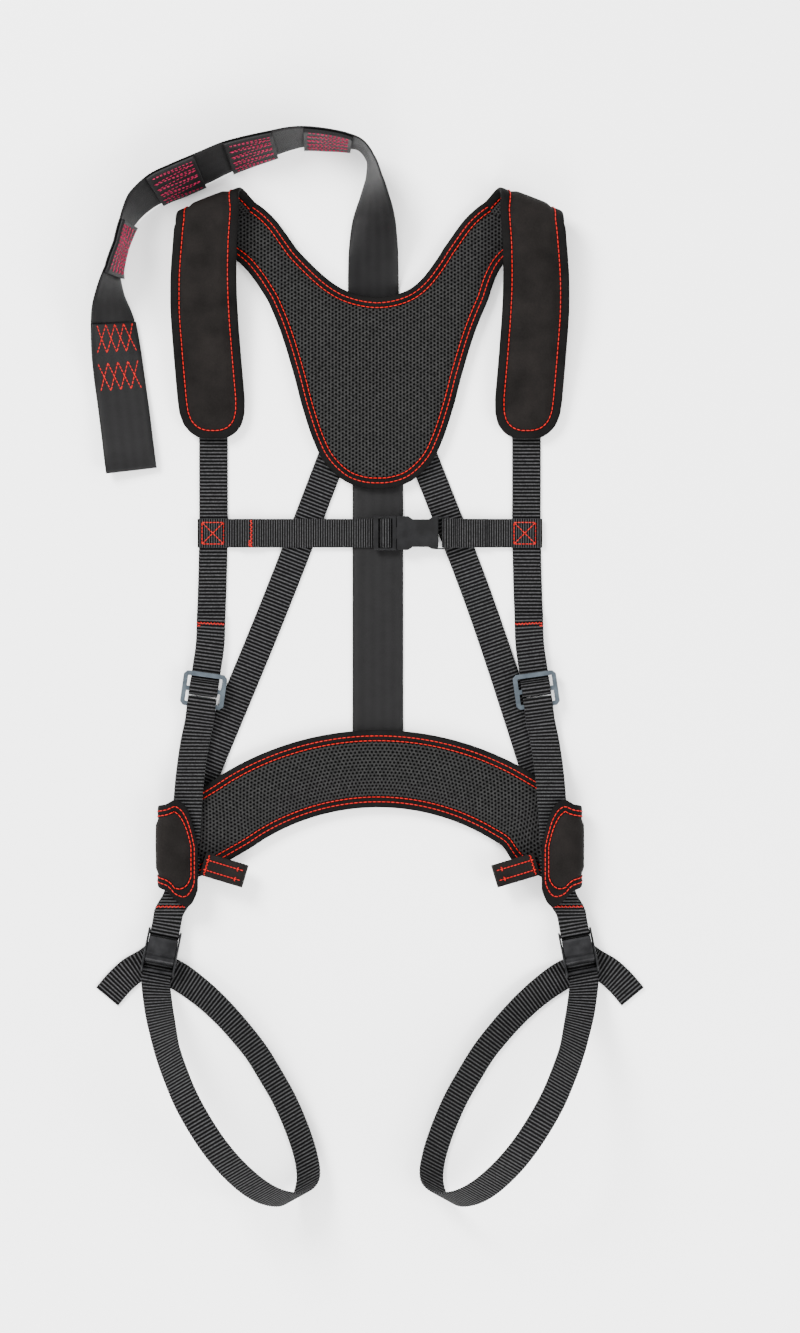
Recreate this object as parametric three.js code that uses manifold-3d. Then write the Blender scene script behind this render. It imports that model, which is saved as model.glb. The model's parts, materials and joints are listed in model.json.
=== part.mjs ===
// Safety harness vest, laid face up on a flat surface. Millimetres, +Z up, +Y towards the shoulders.
// The origin is on the surface, under the middle of the vest.
import * as THREE from 'three';
import { mergeVertices } from 'three/addons/utils/BufferGeometryUtils.js';
import Module from 'manifold-3d';

const wasm = await Module();
wasm.setup();

// Webbing
const WEB_WIDTH = 25.4;
const WEB = 1.8;
const WIDE_WEB_WIDTH = 45;
const WIDE_WEB = 1.5;
const GAP = 0.4;

// Padded panels: a nylon shell, a foam core and a mesh lining
const SKIN = 1.2;
const FOAM = 5.4;
const PANEL = 2 * SKIN + FOAM + 2 * GAP;
const FOAM_INSET = 3;
const FOLD_INNER_RADIUS = 6;

// Back of the vest, which lies a little to the right of the middle
const BACK_SHIFT = 7;
const YOKE_BOTTOM = 184;
const DORSAL_END = -34;
const DIAGONAL_TOP = [38.3, 216.8];
const DIAGONAL_MIDDLE = [91, 80.5];
const DIAGONAL_END = [152, -84];

// Shoulder pads
const PAD_WIDTH = 58;
const PAD_FOLD_X = 131.7;
const PAD_FOLD_Y = 429.8;
const PAD_END_Y = 227.5;
const ARM_LEAD = 15;

// Waist belt
const BELT_WIDTH = 67;
const BELT_RADIUS = 228;
const BELT_APEX_Y = -64.3;
const BELT_HALF_ANGLE = 35;
const HIP_FOLD_X = 178.2;
const HIP_FOLD_GAP = 6;

// Chest strap and its side-release buckle
const CHEST_Y = YOKE_BOTTOM - 40;
const FRONT_X = 138.5;
const MOUTH_X = 23.9;
const SOCKET_LENGTH = 36;
const SOCKET_WALL = 2.3;
const SOCKET_WIDTH = WEB_WIDTH + 2 * SOCKET_WALL;
const SOCKET_THICKNESS = 10;
const CAVITY_WIDTH = SOCKET_WIDTH - 4.8;
const CAVITY_THICKNESS = 5.6;
const BAR = 3.6;
const LADDER_LENGTH = 20.5;
const PLUG_THICKNESS = 4.4;
const PRONG_LENGTH = 29;

// Strap sliders
const SLIDER_WIDTH = WEB_WIDTH + 13.2;
const SLIDER_LENGTH = 31;
const SLIDER_THICKNESS = 3;
const SLIDER_BAR = 4;
const SLIDER_CENTRE = [147, 5.3];
const SLIDER_TILT = 8;

// Leg straps and cam buckles
const CAM_CENTRE = [184.5, -226.5];
const CAM_TILT = 11;
const CAM_LENGTH = 40;
const CAM_PLATE = 1.4;
const CHEEK_HEIGHT = 13;
const PIN_RADIUS = 1.4;
const CAM_RADIUS = 4.2;
const PIN_ALONG = 6;

const V = (x, y, z) => new THREE.Vector3(x, y, z);
const UP = V(0, 0, 1);
const radians = THREE.MathUtils.degToRad;
const group = new THREE.Group();

const LOOKS = {
  webbing: [0x1b1b1c, 0.85, 0],
  tether: [0x232224, 0.45, 0],
  nylon: [0x221d1b, 0.9, 0],
  mesh: [0x161617, 0.95, 0],
  foam: [0x4a4a4c, 1, 0],
  gloss: [0x0e0f10, 0.3, 0],
  slider: [0x59626b, 0.45, 0.2],
  steel: [0x191a1c, 0.4, 0.7],
};

function part(name, look, geometry) {
  const [color, roughness, metalness] = LOOKS[look];
  const mesh = new THREE.Mesh(geometry, new THREE.MeshStandardMaterial({ color, roughness, metalness }));
  mesh.name = name;
  group.add(mesh);
  return mesh;
}

// ---- Joining and cutting ----

function solid(geometry) {
  const bare = geometry.clone();
  bare.deleteAttribute('normal');
  bare.deleteAttribute('uv');
  const merged = mergeVertices(bare, 1e-4);
  const vertProperties = new Float32Array(merged.attributes.position.array);
  const triVerts = new Uint32Array(merged.index.array);
  return new wasm.Manifold(new wasm.Mesh({ numProp: 3, vertProperties, triVerts }));
}

function combine(added, removed = []) {
  let result = solid(added[0]);
  for (const piece of added.slice(1)) result = result.add(solid(piece));
  for (const piece of removed) result = result.subtract(solid(piece));
  const mesh = result.getMesh();
  const geometry = new THREE.BufferGeometry();
  geometry.setAttribute('position', new THREE.BufferAttribute(new Float32Array(mesh.vertProperties), 3));
  geometry.setIndex(new THREE.BufferAttribute(new Uint32Array(mesh.triVerts), 1));
  return geometry;
}

// A box from its lowest to its highest corner
function block(x0, x1, y0, y1, z0, z1) {
  const geometry = new THREE.BoxGeometry(x1 - x0, y1 - y0, z1 - z0);
  geometry.translate((x0 + x1) / 2, (y0 + y1) / 2, (z0 + z1) / 2);
  return geometry;
}

// A flat plate with the given outline, between two heights
function plate(outline, z0, z1) {
  const shape = new THREE.Shape(outline.map(([x, y]) => new THREE.Vector2(x, y)));
  const geometry = new THREE.ExtrudeGeometry(shape, { depth: z1 - z0, bevelEnabled: false });
  geometry.translate(0, 0, z0);
  return geometry;
}

// ---- Strips: a flat section carried along a route, turned by the strip's own width direction ----

class StripRoute extends THREE.Curve {
  constructor(stations) {
    super();
    this.stations = stations;
  }

  getPoint(t, target = new THREE.Vector3()) {
    const place = t * (this.stations.length - 1);
    const index = Math.min(Math.floor(place), this.stations.length - 2);
    return target.lerpVectors(this.stations[index].p, this.stations[index + 1].p, place - index);
  }

  getSpacedPoints() {
    return this.stations.map((station) => station.p);
  }

  computeFrenetFrames() {
    const last = this.stations.length - 1;
    const tangents = this.stations.map((station, i) => {
      const before = this.stations[Math.max(i - 1, 0)].p;
      const after = this.stations[Math.min(i + 1, last)].p;
      return after.clone().sub(before).normalize();
    });
    // A slanted width line is lengthened, so that the strip keeps its width
    const facing = tangents.map((tangent, i) => tangent.clone().cross(this.stations[i].w));
    const normals = this.stations.map(({ w, s }, i) => w.clone().multiplyScalar(s / facing[i].length()));
    const binormals = facing.map((direction) => direction.clone().normalize());
    return { tangents, normals, binormals };
  }
}

// One place on a strip: its middle, the direction of its width, and its share of the full width
function at(x, y, z, wx = 1, wy = 0, wz = 0, s = 1) {
  return { p: V(x, y, z), w: V(wx, wy, wz).normalize(), s };
}

// A smooth route through hand-placed stations
function smooth(knots, perSpan = 4) {
  const curve = new THREE.CatmullRomCurve3(knots.map((knot) => knot.p), false, 'centripetal');
  const spans = knots.length - 1;
  const stations = [];
  for (let i = 0; i <= spans * perSpan; i += 1) {
    const index = Math.min(Math.floor(i / perSpan), spans - 1);
    const share = i / perSpan - index;
    const [from, to] = [knots[index], knots[index + 1]];
    stations.push({
      p: curve.getPoint(i / (spans * perSpan)),
      w: from.w.clone().lerp(to.w, share).normalize(),
      s: from.s + (to.s - from.s) * share,
    });
  }
  return stations;
}

function strip(stations, width, low = -WEB / 2, high = WEB / 2) {
  const outline = [[-width / 2, low], [width / 2, low], [width / 2, high], [-width / 2, high]];
  const shape = new THREE.Shape(outline.map(([x, y]) => new THREE.Vector2(x, y)));
  const steps = stations.length - 1;
  return new THREE.ExtrudeGeometry(shape, { steps, extrudePath: new StripRoute(stations) });
}

// Stations are placed for the wearer's right, at +X; side -1 mirrors them to the left
function onSide(side, stations) {
  if (side > 0) return stations;
  return stations.map(({ p, w, s }) => ({ p: V(-p.x, p.y, p.z), w: V(w.x, -w.y, -w.z), s }));
}

// A strip seen from its side: [distance along, height] pairs in the upright plane through a direction
function upright([x, y], direction, profile) {
  const w = UP.clone().cross(direction);
  return profile.map(([along, z]) => ({ p: V(x, y, z).addScaledVector(direction, along), w, s: 1 }));
}

// Profile points round an arc, with 0 degrees along and 90 degrees up
function bend(along, z, radius, from, to, steps = 6) {
  return Array.from({ length: steps + 1 }, (_, i) => {
    const angle = radians(from + ((to - from) * i) / steps);
    return [along + radius * Math.cos(angle), z + radius * Math.sin(angle)];
  });
}

// A direction in the plane of the surface, turned from straight down towards +X
const downwards = (degrees) => V(Math.sin(radians(degrees)), -Math.cos(radians(degrees)), 0);

// The layers of a padded panel, measured from its middle towards its nylon side
const LAYERS = {
  shell: [PANEL / 2 - SKIN, PANEL / 2],
  foam: [-FOAM / 2, FOAM / 2],
  lining: [-PANEL / 2, -PANEL / 2 + SKIN],
};

const YOKE_Z = WEB + GAP + PANEL / 2;
const sides = [[-1, 'left'], [1, 'right']];

// ---- Back yoke ----

const ARM = V(0.67, 0.742, 0).normalize();
const ARM_ACROSS = V(ARM.y, -ARM.x, 0);

function yokeHalf(inset) {
  const start = V(PAD_FOLD_X, PAD_FOLD_Y, 0).addScaledVector(ARM, -ARM_LEAD - GAP);
  const half = (PAD_WIDTH * 0.9) / 2 - inset;
  const neckCorner = start.clone().addScaledVector(ARM_ACROSS, -half);
  const armCorner = start.clone().addScaledVector(ARM_ACROSS, half);
  const neck = [[0, 351.9 - inset], [24, 356.5 - inset], [39.1, 365.5 - inset],
    [59.4 + inset * 0.7, 387.1 - inset * 0.7], [84 + inset * 0.75, 420.5 - inset * 0.65],
    [95.8 + inset * 0.75, 431.6 - inset * 0.65]];
  const armhole = [[116.8 - inset * 0.6, 383.5 + inset * 0.6], [107.8 - inset * 0.8, 371.8],
    [99.1 - inset, 355], [86 - inset, 324], [73.4 - inset, 283.3], [66.5 - inset, 256.7],
    [56.2 - inset, 225.7], [46.8 - inset, 207.4 + inset * 0.3],
    [29.8 - inset * 0.4, 191.2 + inset * 0.8], [14, YOKE_BOTTOM + 1.2 + inset]];
  const bottom = [[0, YOKE_BOTTOM + inset]];
  return [...neck, [neckCorner.x, neckCorner.y], [armCorner.x, armCorner.y], ...armhole, ...bottom];
}

function yokeOutline(inset) {
  const half = yokeHalf(inset);
  const mirrored = half.slice(1, -1).reverse().map(([x, y]) => [-x, y]);
  const skew = ([x, y]) => [x + BACK_SHIFT * (1 - THREE.MathUtils.smoothstep(y, 350, 395)), y];
  return [...half, ...mirrored].map(skew);
}

const yokeLayers = [['shell', 'nylon', 0], ['foam', 'foam', FOAM_INSET], ['lining', 'mesh', 0]];
for (const [name, look, inset] of yokeLayers) {
  const [low, high] = LAYERS[name];
  part(`yoke_${name}`, look, plate(yokeOutline(inset), YOKE_Z - high, YOKE_Z - low));
}

// ---- Shoulder pads: each arm of the yoke folds over at a slant and comes down the front ----

const PAD_FRONT = V(0, -1, 0);

function shoulderFold(steps = 9) {
  const fold = ARM.clone().add(PAD_FRONT).normalize();
  const square = ARM.clone().addScaledVector(fold, -ARM.dot(fold)).normalize();
  const [slant, forward] = [ARM.dot(fold), ARM.dot(square)];
  const radius = FOLD_INNER_RADIUS + PANEL / 2;
  const start = V(PAD_FOLD_X, PAD_FOLD_Y, YOKE_Z);
  const lead = { p: start.clone().addScaledVector(ARM, -ARM_LEAD), w: ARM_ACROSS.clone(), s: 0.9 };
  // The strip lies on a cylinder along the fold, so its width line keeps the fold's direction
  const turn = Array.from({ length: steps + 1 }, (_, i) => {
    const angle = (Math.PI * i) / steps;
    const p = start.clone().addScaledVector(square, radius * Math.sin(angle));
    p.addScaledVector(UP, radius * (1 - Math.cos(angle)));
    p.addScaledVector(fold, (radius * angle * slant) / forward);
    return { p, w: fold.clone(), s: 0.9 + 0.04 * (angle / Math.PI) };
  });
  return [lead, ...turn];
}

function padRoute() {
  const fold = shoulderFold();
  const top = fold[fold.length - 1];
  const lowZ = YOKE_Z;
  const drop = top.p.z - lowZ;
  const down = [[400, 0.93, 145.2, 0.95], [370, 0.78, 146.6, 0.98], [340, 0.6, 146.2, 1],
    [310, 0.4, 144.2, 1], [280, 0.2, 141.8, 1], [262, 0.1, 140.3, 1], [250, 0.04, 139.6, 0.97],
    [240, 0.01, 139, 0.86],
    [233, 0, 138.7, 0.66], [229, 0, 138.6, 0.42], [PAD_END_Y, 0, FRONT_X, 0.2]];
  const knots = down.map(([y, share, x, s]) => at(x, y, lowZ + drop * share, 1, 0, 0, s));
  return [...fold.slice(0, -1), ...smooth([top, ...knots], 2)];
}

// The foam stops short of the rounded end and of the pad's edges
function narrowed(stations, inset, width) {
  const kept = stations.filter((station) => station.s * width > 4 * inset);
  return kept.map((station) => ({ ...station, s: station.s - (2 * inset) / width }));
}

const pad = padRoute();
for (const [side, end] of sides) {
  const route = onSide(side, pad);
  part(`shoulder_pad_shell_${end}`, 'nylon', strip(route, PAD_WIDTH, ...LAYERS.shell));
  const core = narrowed(route, FOAM_INSET, PAD_WIDTH);
  part(`shoulder_pad_foam_${end}`, 'foam', strip(core, PAD_WIDTH, ...LAYERS.foam));
  part(`shoulder_pad_lining_${end}`, 'mesh', strip(route, PAD_WIDTH, ...LAYERS.lining));
}

// ---- Straps on the back, which lie under the yoke and the belt ----

const dorsal = [YOKE_BOTTOM + 36, DORSAL_END - 22].map((y) => at(BACK_SHIFT, y, WIDE_WEB / 2));
part('dorsal_webbing', 'webbing', strip(dorsal, WIDE_WEB_WIDTH, -WIDE_WEB / 2, WIDE_WEB / 2));

for (const [side, end] of sides) {
  const points = [DIAGONAL_TOP, DIAGONAL_MIDDLE, DIAGONAL_END];
  const shifts = [BACK_SHIFT, BACK_SHIFT, 0];
  const placed = points.map(([x, y], i) => V(x * side + shifts[i], y, WEB / 2));
  const across = placed[2].clone().sub(placed[0]).normalize().cross(UP).negate();
  const route = smooth(placed.map((p) => ({ p, w: across, s: 1 })), 3);
  part(`back_strap_${end}`, 'webbing', strip(route, WEB_WIDTH));
}

// ---- Waist belt, whose ends fold over at the hips ----

const BELT_Z = YOKE_Z;
const BELT_FOLD_RADIUS = HIP_FOLD_GAP / 2 + PANEL / 2;
const HIP_TOP_Z = BELT_Z + 2 * BELT_FOLD_RADIUS;

function beltArc(steps = 16) {
  return Array.from({ length: steps + 1 }, (_, i) => {
    const angle = radians(-BELT_HALF_ANGLE + (2 * BELT_HALF_ANGLE * i) / steps);
    const [x, y] = [Math.sin(angle), Math.cos(angle)];
    return at(BACK_SHIFT + BELT_RADIUS * x, BELT_APEX_Y - BELT_RADIUS * (1 - y), BELT_Z, x, y, 0);
  });
}

// From the end of the arc round the fold to the tip of the hip flap
function hipEnd() {
  const approach = [at(151, -121, BELT_Z, 0.45, 0.89), at(163, -127.5, BELT_Z, 0.25, 0.97),
    at(172, -130.5, BELT_Z, 0, 1)];
  const foldY = [-131.5, -133.5];
  const turn = bend(HIP_FOLD_X, BELT_Z + BELT_FOLD_RADIUS, BELT_FOLD_RADIUS, -90, 90, 8).map(([x, z], i) => {
    const share = i / 8;
    return at(x, foldY[0] + (foldY[1] - foldY[0]) * share, z, 0, 1, 0, 0.96 + 0.16 * share);
  });
  const flap = [at(173, -135, HIP_TOP_Z, 0, 1, 0, 1.2), at(168, -137.5, HIP_TOP_Z, 0, 1, 0, 1.14),
    at(163, -141, HIP_TOP_Z, 0, 1, 0, 1.02), at(158, -145.5, HIP_TOP_Z, 0, 1, 0, 0.8),
    at(154, -149.5, HIP_TOP_Z, 0, 1, 0, 0.55), at(151.5, -152, HIP_TOP_Z, 0, 1, 0, 0.35)];
  return [...approach, ...turn, ...flap];
}

const hip = hipEnd();
const beltRoute = [...onSide(-1, hip).reverse(), ...beltArc(), ...hip];
// The flat side of a belt that runs towards +X with its width towards +Y faces up, so the shell is below
for (const [name, look] of [['shell', 'nylon'], ['foam', 'foam'], ['lining', 'mesh']]) {
  const [low, high] = LAYERS[name];
  const route = beltRoute.map((station) => ({ ...station, w: station.w.clone() }));
  route.forEach((station, i) => {
    if (i < hip.length) station.w = V(-station.w.x, -station.w.y, -station.w.z);
  });
  const kept = name === 'foam' ? narrowed(route, FOAM_INSET, BELT_WIDTH) : route;
  part(`belt_${name}`, look, strip(kept, BELT_WIDTH, -high, -low));
}

// ---- Front straps and their sliders ----

// Heights of the middles of webbing that lies on the surface, or on one, two or three layers of webbing
const [LOW, SECOND, THIRD, FOURTH] = [0, 1, 2, 3].map((layer) => WEB / 2 + layer * (WEB + GAP));
const SLIDER_Z = THIRD + WEB / 2 + 0.75 * GAP;
const OVER_BAR = SLIDER_Z + SLIDER_THICKNESS + 1.75 * GAP + WEB / 2;
const FRAME_END = SLIDER_LENGTH / 2;
const WRAP_CENTRE = 0.4;

function sliderFrame(side) {
  const [w, l, b] = [SLIDER_WIDTH / 2, FRAME_END, SLIDER_BAR];
  const chamfer = 3;
  const outline = [[-w + chamfer, -l], [w - chamfer, -l], [w, -l + chamfer], [w, l - chamfer],
    [w - chamfer, l], [-w + chamfer, l], [-w, l - chamfer], [-w, -l + chamfer]];
  const slots = [[b / 2, l - b], [-l + b, -b / 2]].map(([y0, y1]) => (
    block(-w + b, w - b, y0, y1, -1, SLIDER_THICKNESS + 1)));
  const geometry = combine([plate(outline, 0, SLIDER_THICKNESS)], slots);
  geometry.rotateZ(radians(SLIDER_TILT) * side);
  geometry.translate(side * SLIDER_CENTRE[0], SLIDER_CENTRE[1], SLIDER_Z);
  return geometry;
}

// Down from the pad, under the top bar, round the middle bar and back up to the sewn end
function upperStrap() {
  const half = SLIDER_BAR / 2;
  const turnRadius = (OVER_BAR - SECOND) / 2;
  const wrap = bend(WRAP_CENTRE, SECOND + turnRadius, turnRadius, -90, 90, 8);
  const profile = [[-40, SECOND - 0.3], [-20, SECOND], [-8, SECOND], ...wrap, [-half, OVER_BAR],
    [-half - 2.2, OVER_BAR - 1.1], [-half - 4.2, (OVER_BAR + THIRD) / 2],
    [-half - 6, THIRD + 0.4], [-half - 7.6, THIRD - 0.1], [-20, THIRD], [-40, THIRD - 0.3]];
  const local = upright(SLIDER_CENTRE, downwards(SLIDER_TILT), profile);
  const above = [at(FRONT_X, PAD_END_Y + 22, LOW), at(FRONT_X, PAD_END_Y, LOW), at(FRONT_X, CHEST_Y, LOW),
    at(139.6, 95, LOW), at(140.4, 73, LOW + 0.4)];
  const end = [at(140.4, 73, SECOND + 0.4)];
  return [...smooth([...above, local[0]], 2).slice(0, -1), ...local, ...end];
}

// Up from the hip over the bottom bar, round it and back down underneath
function lowerStrap() {
  const turnRadius = (OVER_BAR - THIRD) / 2;
  const wrapTop = WRAP_CENTRE + (OVER_BAR - SECOND) / 2 + WEB / 2 + 1.5 * GAP;
  const wrap = bend(wrapTop + WEB / 2 + turnRadius, THIRD + turnRadius, turnRadius, 90, 270, 8);
  const profile = [[FRAME_END + 12, FOURTH - 0.6], [FRAME_END + 7, FOURTH + 1.2],
    [FRAME_END + 3, OVER_BAR - 0.7], ...wrap, [FRAME_END + 3, THIRD], [FRAME_END + 12, SECOND + 0.6]];
  const local = upright(SLIDER_CENTRE, downwards(SLIDER_TILT), profile);
  const inFold = BELT_Z + BELT_FOLD_RADIUS;
  const step = (WEB + GAP) / 2;
  // The strap comes off the belt above the belt's upper edge, which is higher at its inner side
  const edge = BELT_WIDTH / 2 + WEB_WIDTH / 4;
  const [onBelt, off, clear] = [edge - 112.85, edge - 96.85, edge - 81.85];
  const top = [at(163, -128, inFold + step), at(162, -112, inFold + step), at(160.6, -92, inFold + step),
    at(159, onBelt, inFold + step), at(157.2, off, THIRD + 4), at(155, clear, THIRD + 0.4)];
  const under = [at(155, clear, SECOND), at(157.2, off, SECOND + 3.8), at(159, onBelt, inFold - step),
    at(160.6, -92, inFold - step), at(162, -112, inFold - step), at(163, -126, inFold - step)];
  const before = smooth([...top, local[0]], 3).slice(0, -1);
  const after = smooth([local[local.length - 1], ...under], 3).slice(1);
  return [...before, ...local, ...after];
}

for (const [side, end] of sides) {
  part(`front_strap_upper_${end}`, 'webbing', strip(onSide(side, upperStrap()), WEB_WIDTH));
  part(`front_strap_lower_${end}`, 'webbing', strip(onSide(side, lowerStrap()), WEB_WIDTH));
  part(`slider_frame_${end}`, 'slider', sliderFrame(side));
}

// ---- Chest strap and side-release buckle ----

const BUCKLE_Z = SECOND + WEB / 2 + SOCKET_THICKNESS / 2 - 2.2;
const PLUG_TOP = BUCKLE_Z + PLUG_THICKNESS / 2;

function socketGeometry() {
  const [w, z] = [SOCKET_WIDTH / 2, SOCKET_THICKNESS / 2];
  const waist = w - 2.8;
  const half = [[0, w - 1], [1, w], [10, w], [14, waist], [28, waist], [31, w - 1], [SOCKET_LENGTH, w - 0.6]];
  const outline = [...half, ...half.map(([x, y]) => [x, -y]).reverse()];
  const tailLength = 2 * BAR + 3;
  const body = plate(outline, -z, z);
  const tail = block(SOCKET_LENGTH - 1, SOCKET_LENGTH + tailLength, -w + 0.6, w - 0.6, -BAR / 1.8, BAR / 1.8);
  const [cw, cz] = [CAVITY_WIDTH / 2, CAVITY_THICKNESS / 2];
  const cavity = block(-1, PRONG_LENGTH + 3, -cw, cw, -cz, cz);
  const slot = block(SOCKET_LENGTH + 0.6, SOCKET_LENGTH + tailLength - BAR, -cw - 0.6, cw + 0.6, -z, z);
  const geometry = combine([body, tail], [cavity, slot]);
  geometry.translate(MOUTH_X, CHEST_Y, BUCKLE_Z);
  return geometry;
}

function plugGeometry() {
  const [w, z] = [SOCKET_WIDTH / 2, PLUG_THICKNESS / 2];
  const [cw, l] = [CAVITY_WIDTH / 2, LADDER_LENGTH];
  const ladder = block(-l, -GAP, -w, w, -z, z);
  const neck = block(-1, 3, -cw + 7.5, cw - 7.5, -z, z);
  const tongue = block(2, 14, -2.4, 2.4, -z, z);
  const outer = block(-l + BAR + 0.4, -l + 2 * BAR + 1.2, -cw - 0.6, cw + 0.6, -z - 1, z + 1);
  const inner = block(-l + 3 * BAR + 1.2, -4, -cw - 0.6, cw + 0.6, -z - 1, z + 1);
  const geometry = combine([ladder, neck, tongue], [outer, inner]);
  geometry.translate(MOUTH_X, CHEST_Y, BUCKLE_Z);
  return geometry;
}

function prongGeometry(up) {
  const fromWall = [[0.3, 6.8], [0.3, 3.4], [11, 3.2], [15, 0.6], [24, 0.8],
    [PRONG_LENGTH, 3.4], [PRONG_LENGTH, 5.4], [25, 6], [12, 6.8]];
  const outline = fromWall.map(([x, gap]) => [x, (CAVITY_WIDTH / 2 - gap) * up]);
  const z = PLUG_THICKNESS / 2;
  const geometry = plate(outline, -z, z);
  geometry.translate(MOUTH_X, CHEST_Y, BUCKLE_Z);
  return geometry;
}

part('buckle_socket', 'gloss', socketGeometry());
part('buckle_plug', 'gloss', plugGeometry());
part('prong_upper', 'gloss', prongGeometry(1));
part('prong_lower', 'gloss', prongGeometry(-1));

const ACROSS = V(1, 0, 0);

function chestLeft() {
  const over = PLUG_TOP + GAP + WEB / 2;
  const barRight = MOUTH_X - LADDER_LENGTH + 3 * BAR + 1.2;
  const turnRadius = (over - SECOND) / 2;
  const outerBar = MOUTH_X - LADDER_LENGTH + BAR;
  const wrap = bend(barRight - 0.7, SECOND + turnRadius, turnRadius, 90, -90, 8);
  const profile = [[-118, THIRD], [-103, THIRD], [-98, THIRD - 0.6], [-93, SECOND + 0.3], [-87, SECOND],
    [-50, SECOND], [outerBar - 3, SECOND], [outerBar + 0.9, SECOND + 0.2],
    [outerBar + 2.5, (SECOND + over) / 2 - 0.8], [outerBar + 3.8, over - 0.9], [outerBar + 5.4, over],
    ...wrap, [barRight - 2, SECOND]];
  return upright([0, CHEST_Y], ACROSS, profile);
}

function chestRight() {
  const bar = MOUTH_X + SOCKET_LENGTH + 3 + 2 * BAR - BAR / 2;
  const turnRadius = BAR / 1.8 + 1.75 * GAP + WEB / 2;
  const wrap = bend(bar - 0.2, BUCKLE_Z, turnRadius, 90, 270, 8);
  const profile = [[103, THIRD], [86, THIRD], [bar + 9, THIRD + 0.6],
    [bar + 4, BUCKLE_Z + turnRadius - 0.8], ...wrap,
    [bar + 6, SECOND], [110, SECOND], [FRONT_X + 14, SECOND]];
  return upright([0, CHEST_Y], ACROSS, profile);
}

const chestTab = upright([0, CHEST_Y], ACROSS, [[-FRONT_X - 14, SECOND], [-106, SECOND]]);
part('chest_tab_left', 'webbing', strip(chestTab, WEB_WIDTH));
part('chest_strap_left', 'webbing', strip(chestLeft(), WEB_WIDTH));
part('chest_strap_right', 'webbing', strip(chestRight(), WEB_WIDTH));

// ---- Gear loops at the hips ----

function gearLoop() {
  const direction = V(-0.96, -0.29, 0).normalize();
  const middle = BELT_Z + PANEL / 2 + HIP_FOLD_GAP / 2 + 1.8;
  const opening = 4;
  const profile = [[0, middle + 1.3], [8, middle + opening], [30, middle + opening],
    ...bend(34, middle, opening, 90, -90, 6), [30, middle - opening + 0.4],
    [8, middle - opening + 0.9], [0, middle - 1.3]];
  return upright([HIP_FOLD_X - WEB_WIDTH - 5.8, -148], direction, profile);
}

for (const [side, end] of sides) {
  part(`gear_loop_${end}`, 'webbing', strip(onSide(side, gearLoop()), WEB_WIDTH * 0.8));
}

// ---- Leg straps: a webbing tab, a cam buckle, and the loop with its loose end ----

const BASE_Z = 2.85;
const THROUGH_Z = BASE_Z + CAM_PLATE + 0.5 + WEB / 2;
const PIN_Z = THROUGH_Z + WEB / 2 + 0.35 + CAM_RADIUS;
const CHEEK_INNER = WEB_WIDTH / 2 + 0.6;
const CHEEK = 1.6;
const TAB_BAR_ALONG = -16.5;
const TAB_BAR_Z = 8;
const TAB_BAR_RADIUS = 1.8;
const camDirection = downwards(CAM_TILT);

// Geometry drawn with +X along the strap and +Y across it is put in its place beside the leg
function onLeg(side, geometry) {
  geometry.rotateZ(Math.atan2(camDirection.y, camDirection.x * side));
  geometry.translate(CAM_CENTRE[0] * side, CAM_CENTRE[1], 0);
  return geometry;
}

// A round bar across the strap
function crossBar(along, z, radius, halfLength) {
  const bar = new THREE.CylinderGeometry(radius, radius, 2 * halfLength, 16);
  bar.translate(along, 0, z);
  return bar;
}

function camFrame() {
  const half = CAM_LENGTH / 2;
  const low = BASE_Z;
  const high = BASE_Z + CHEEK_HEIGHT;
  const side = [[-half, low + 2], [-half + 3, low], [half, low], [half, low + 6], [half - 5, high],
    [-2, high], [-half, low + 9]];
  const cheeks = [1, -1].map((sign) => {
    const cheek = plate(side, 0, CHEEK);
    cheek.rotateX(Math.PI / 2);
    cheek.translate(0, sign > 0 ? CHEEK_INNER + CHEEK : -CHEEK_INNER, 0);
    return cheek;
  });
  const base = block(-6.5, half - 1, -CHEEK_INNER - 0.5, CHEEK_INNER + 0.5, low, low + CAM_PLATE);
  const tabBar = crossBar(TAB_BAR_ALONG, TAB_BAR_Z, TAB_BAR_RADIUS, CHEEK_INNER + 0.5);
  const topBar = crossBar(half - 3, THROUGH_Z + WEB / 2 + 2.2, 1.5, CHEEK_INNER + 0.5);
  const hole = crossBar(PIN_ALONG, PIN_Z, PIN_RADIUS + 0.3, CHEEK_INNER + CHEEK + 1);
  return combine([...cheeks, base, tabBar, topBar], [hole]);
}

function camLever() {
  const profile = new THREE.Shape();
  profile.absarc(0, 0, CAM_RADIUS, radians(200), radians(495), false);
  profile.lineTo(-5, 4.6);
  profile.lineTo(-17, 4.4);
  profile.lineTo(-19, 3.4);
  profile.lineTo(-19, 2);
  profile.lineTo(-9, 1.2);
  const hole = new THREE.Path();
  hole.absarc(0, 0, PIN_RADIUS + 0.3, 0, 2 * Math.PI, true);
  profile.holes.push(hole);
  const width = 2 * CHEEK_INNER - 1.2;
  const lever = new THREE.ExtrudeGeometry(profile, { depth: width, bevelEnabled: false, curveSegments: 8 });
  lever.rotateX(Math.PI / 2);
  lever.translate(PIN_ALONG, width / 2, PIN_Z);
  return lever;
}

function camPin() {
  return crossBar(PIN_ALONG, PIN_Z, PIN_RADIUS, CHEEK_INNER + CHEEK + 0.6);
}

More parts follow.
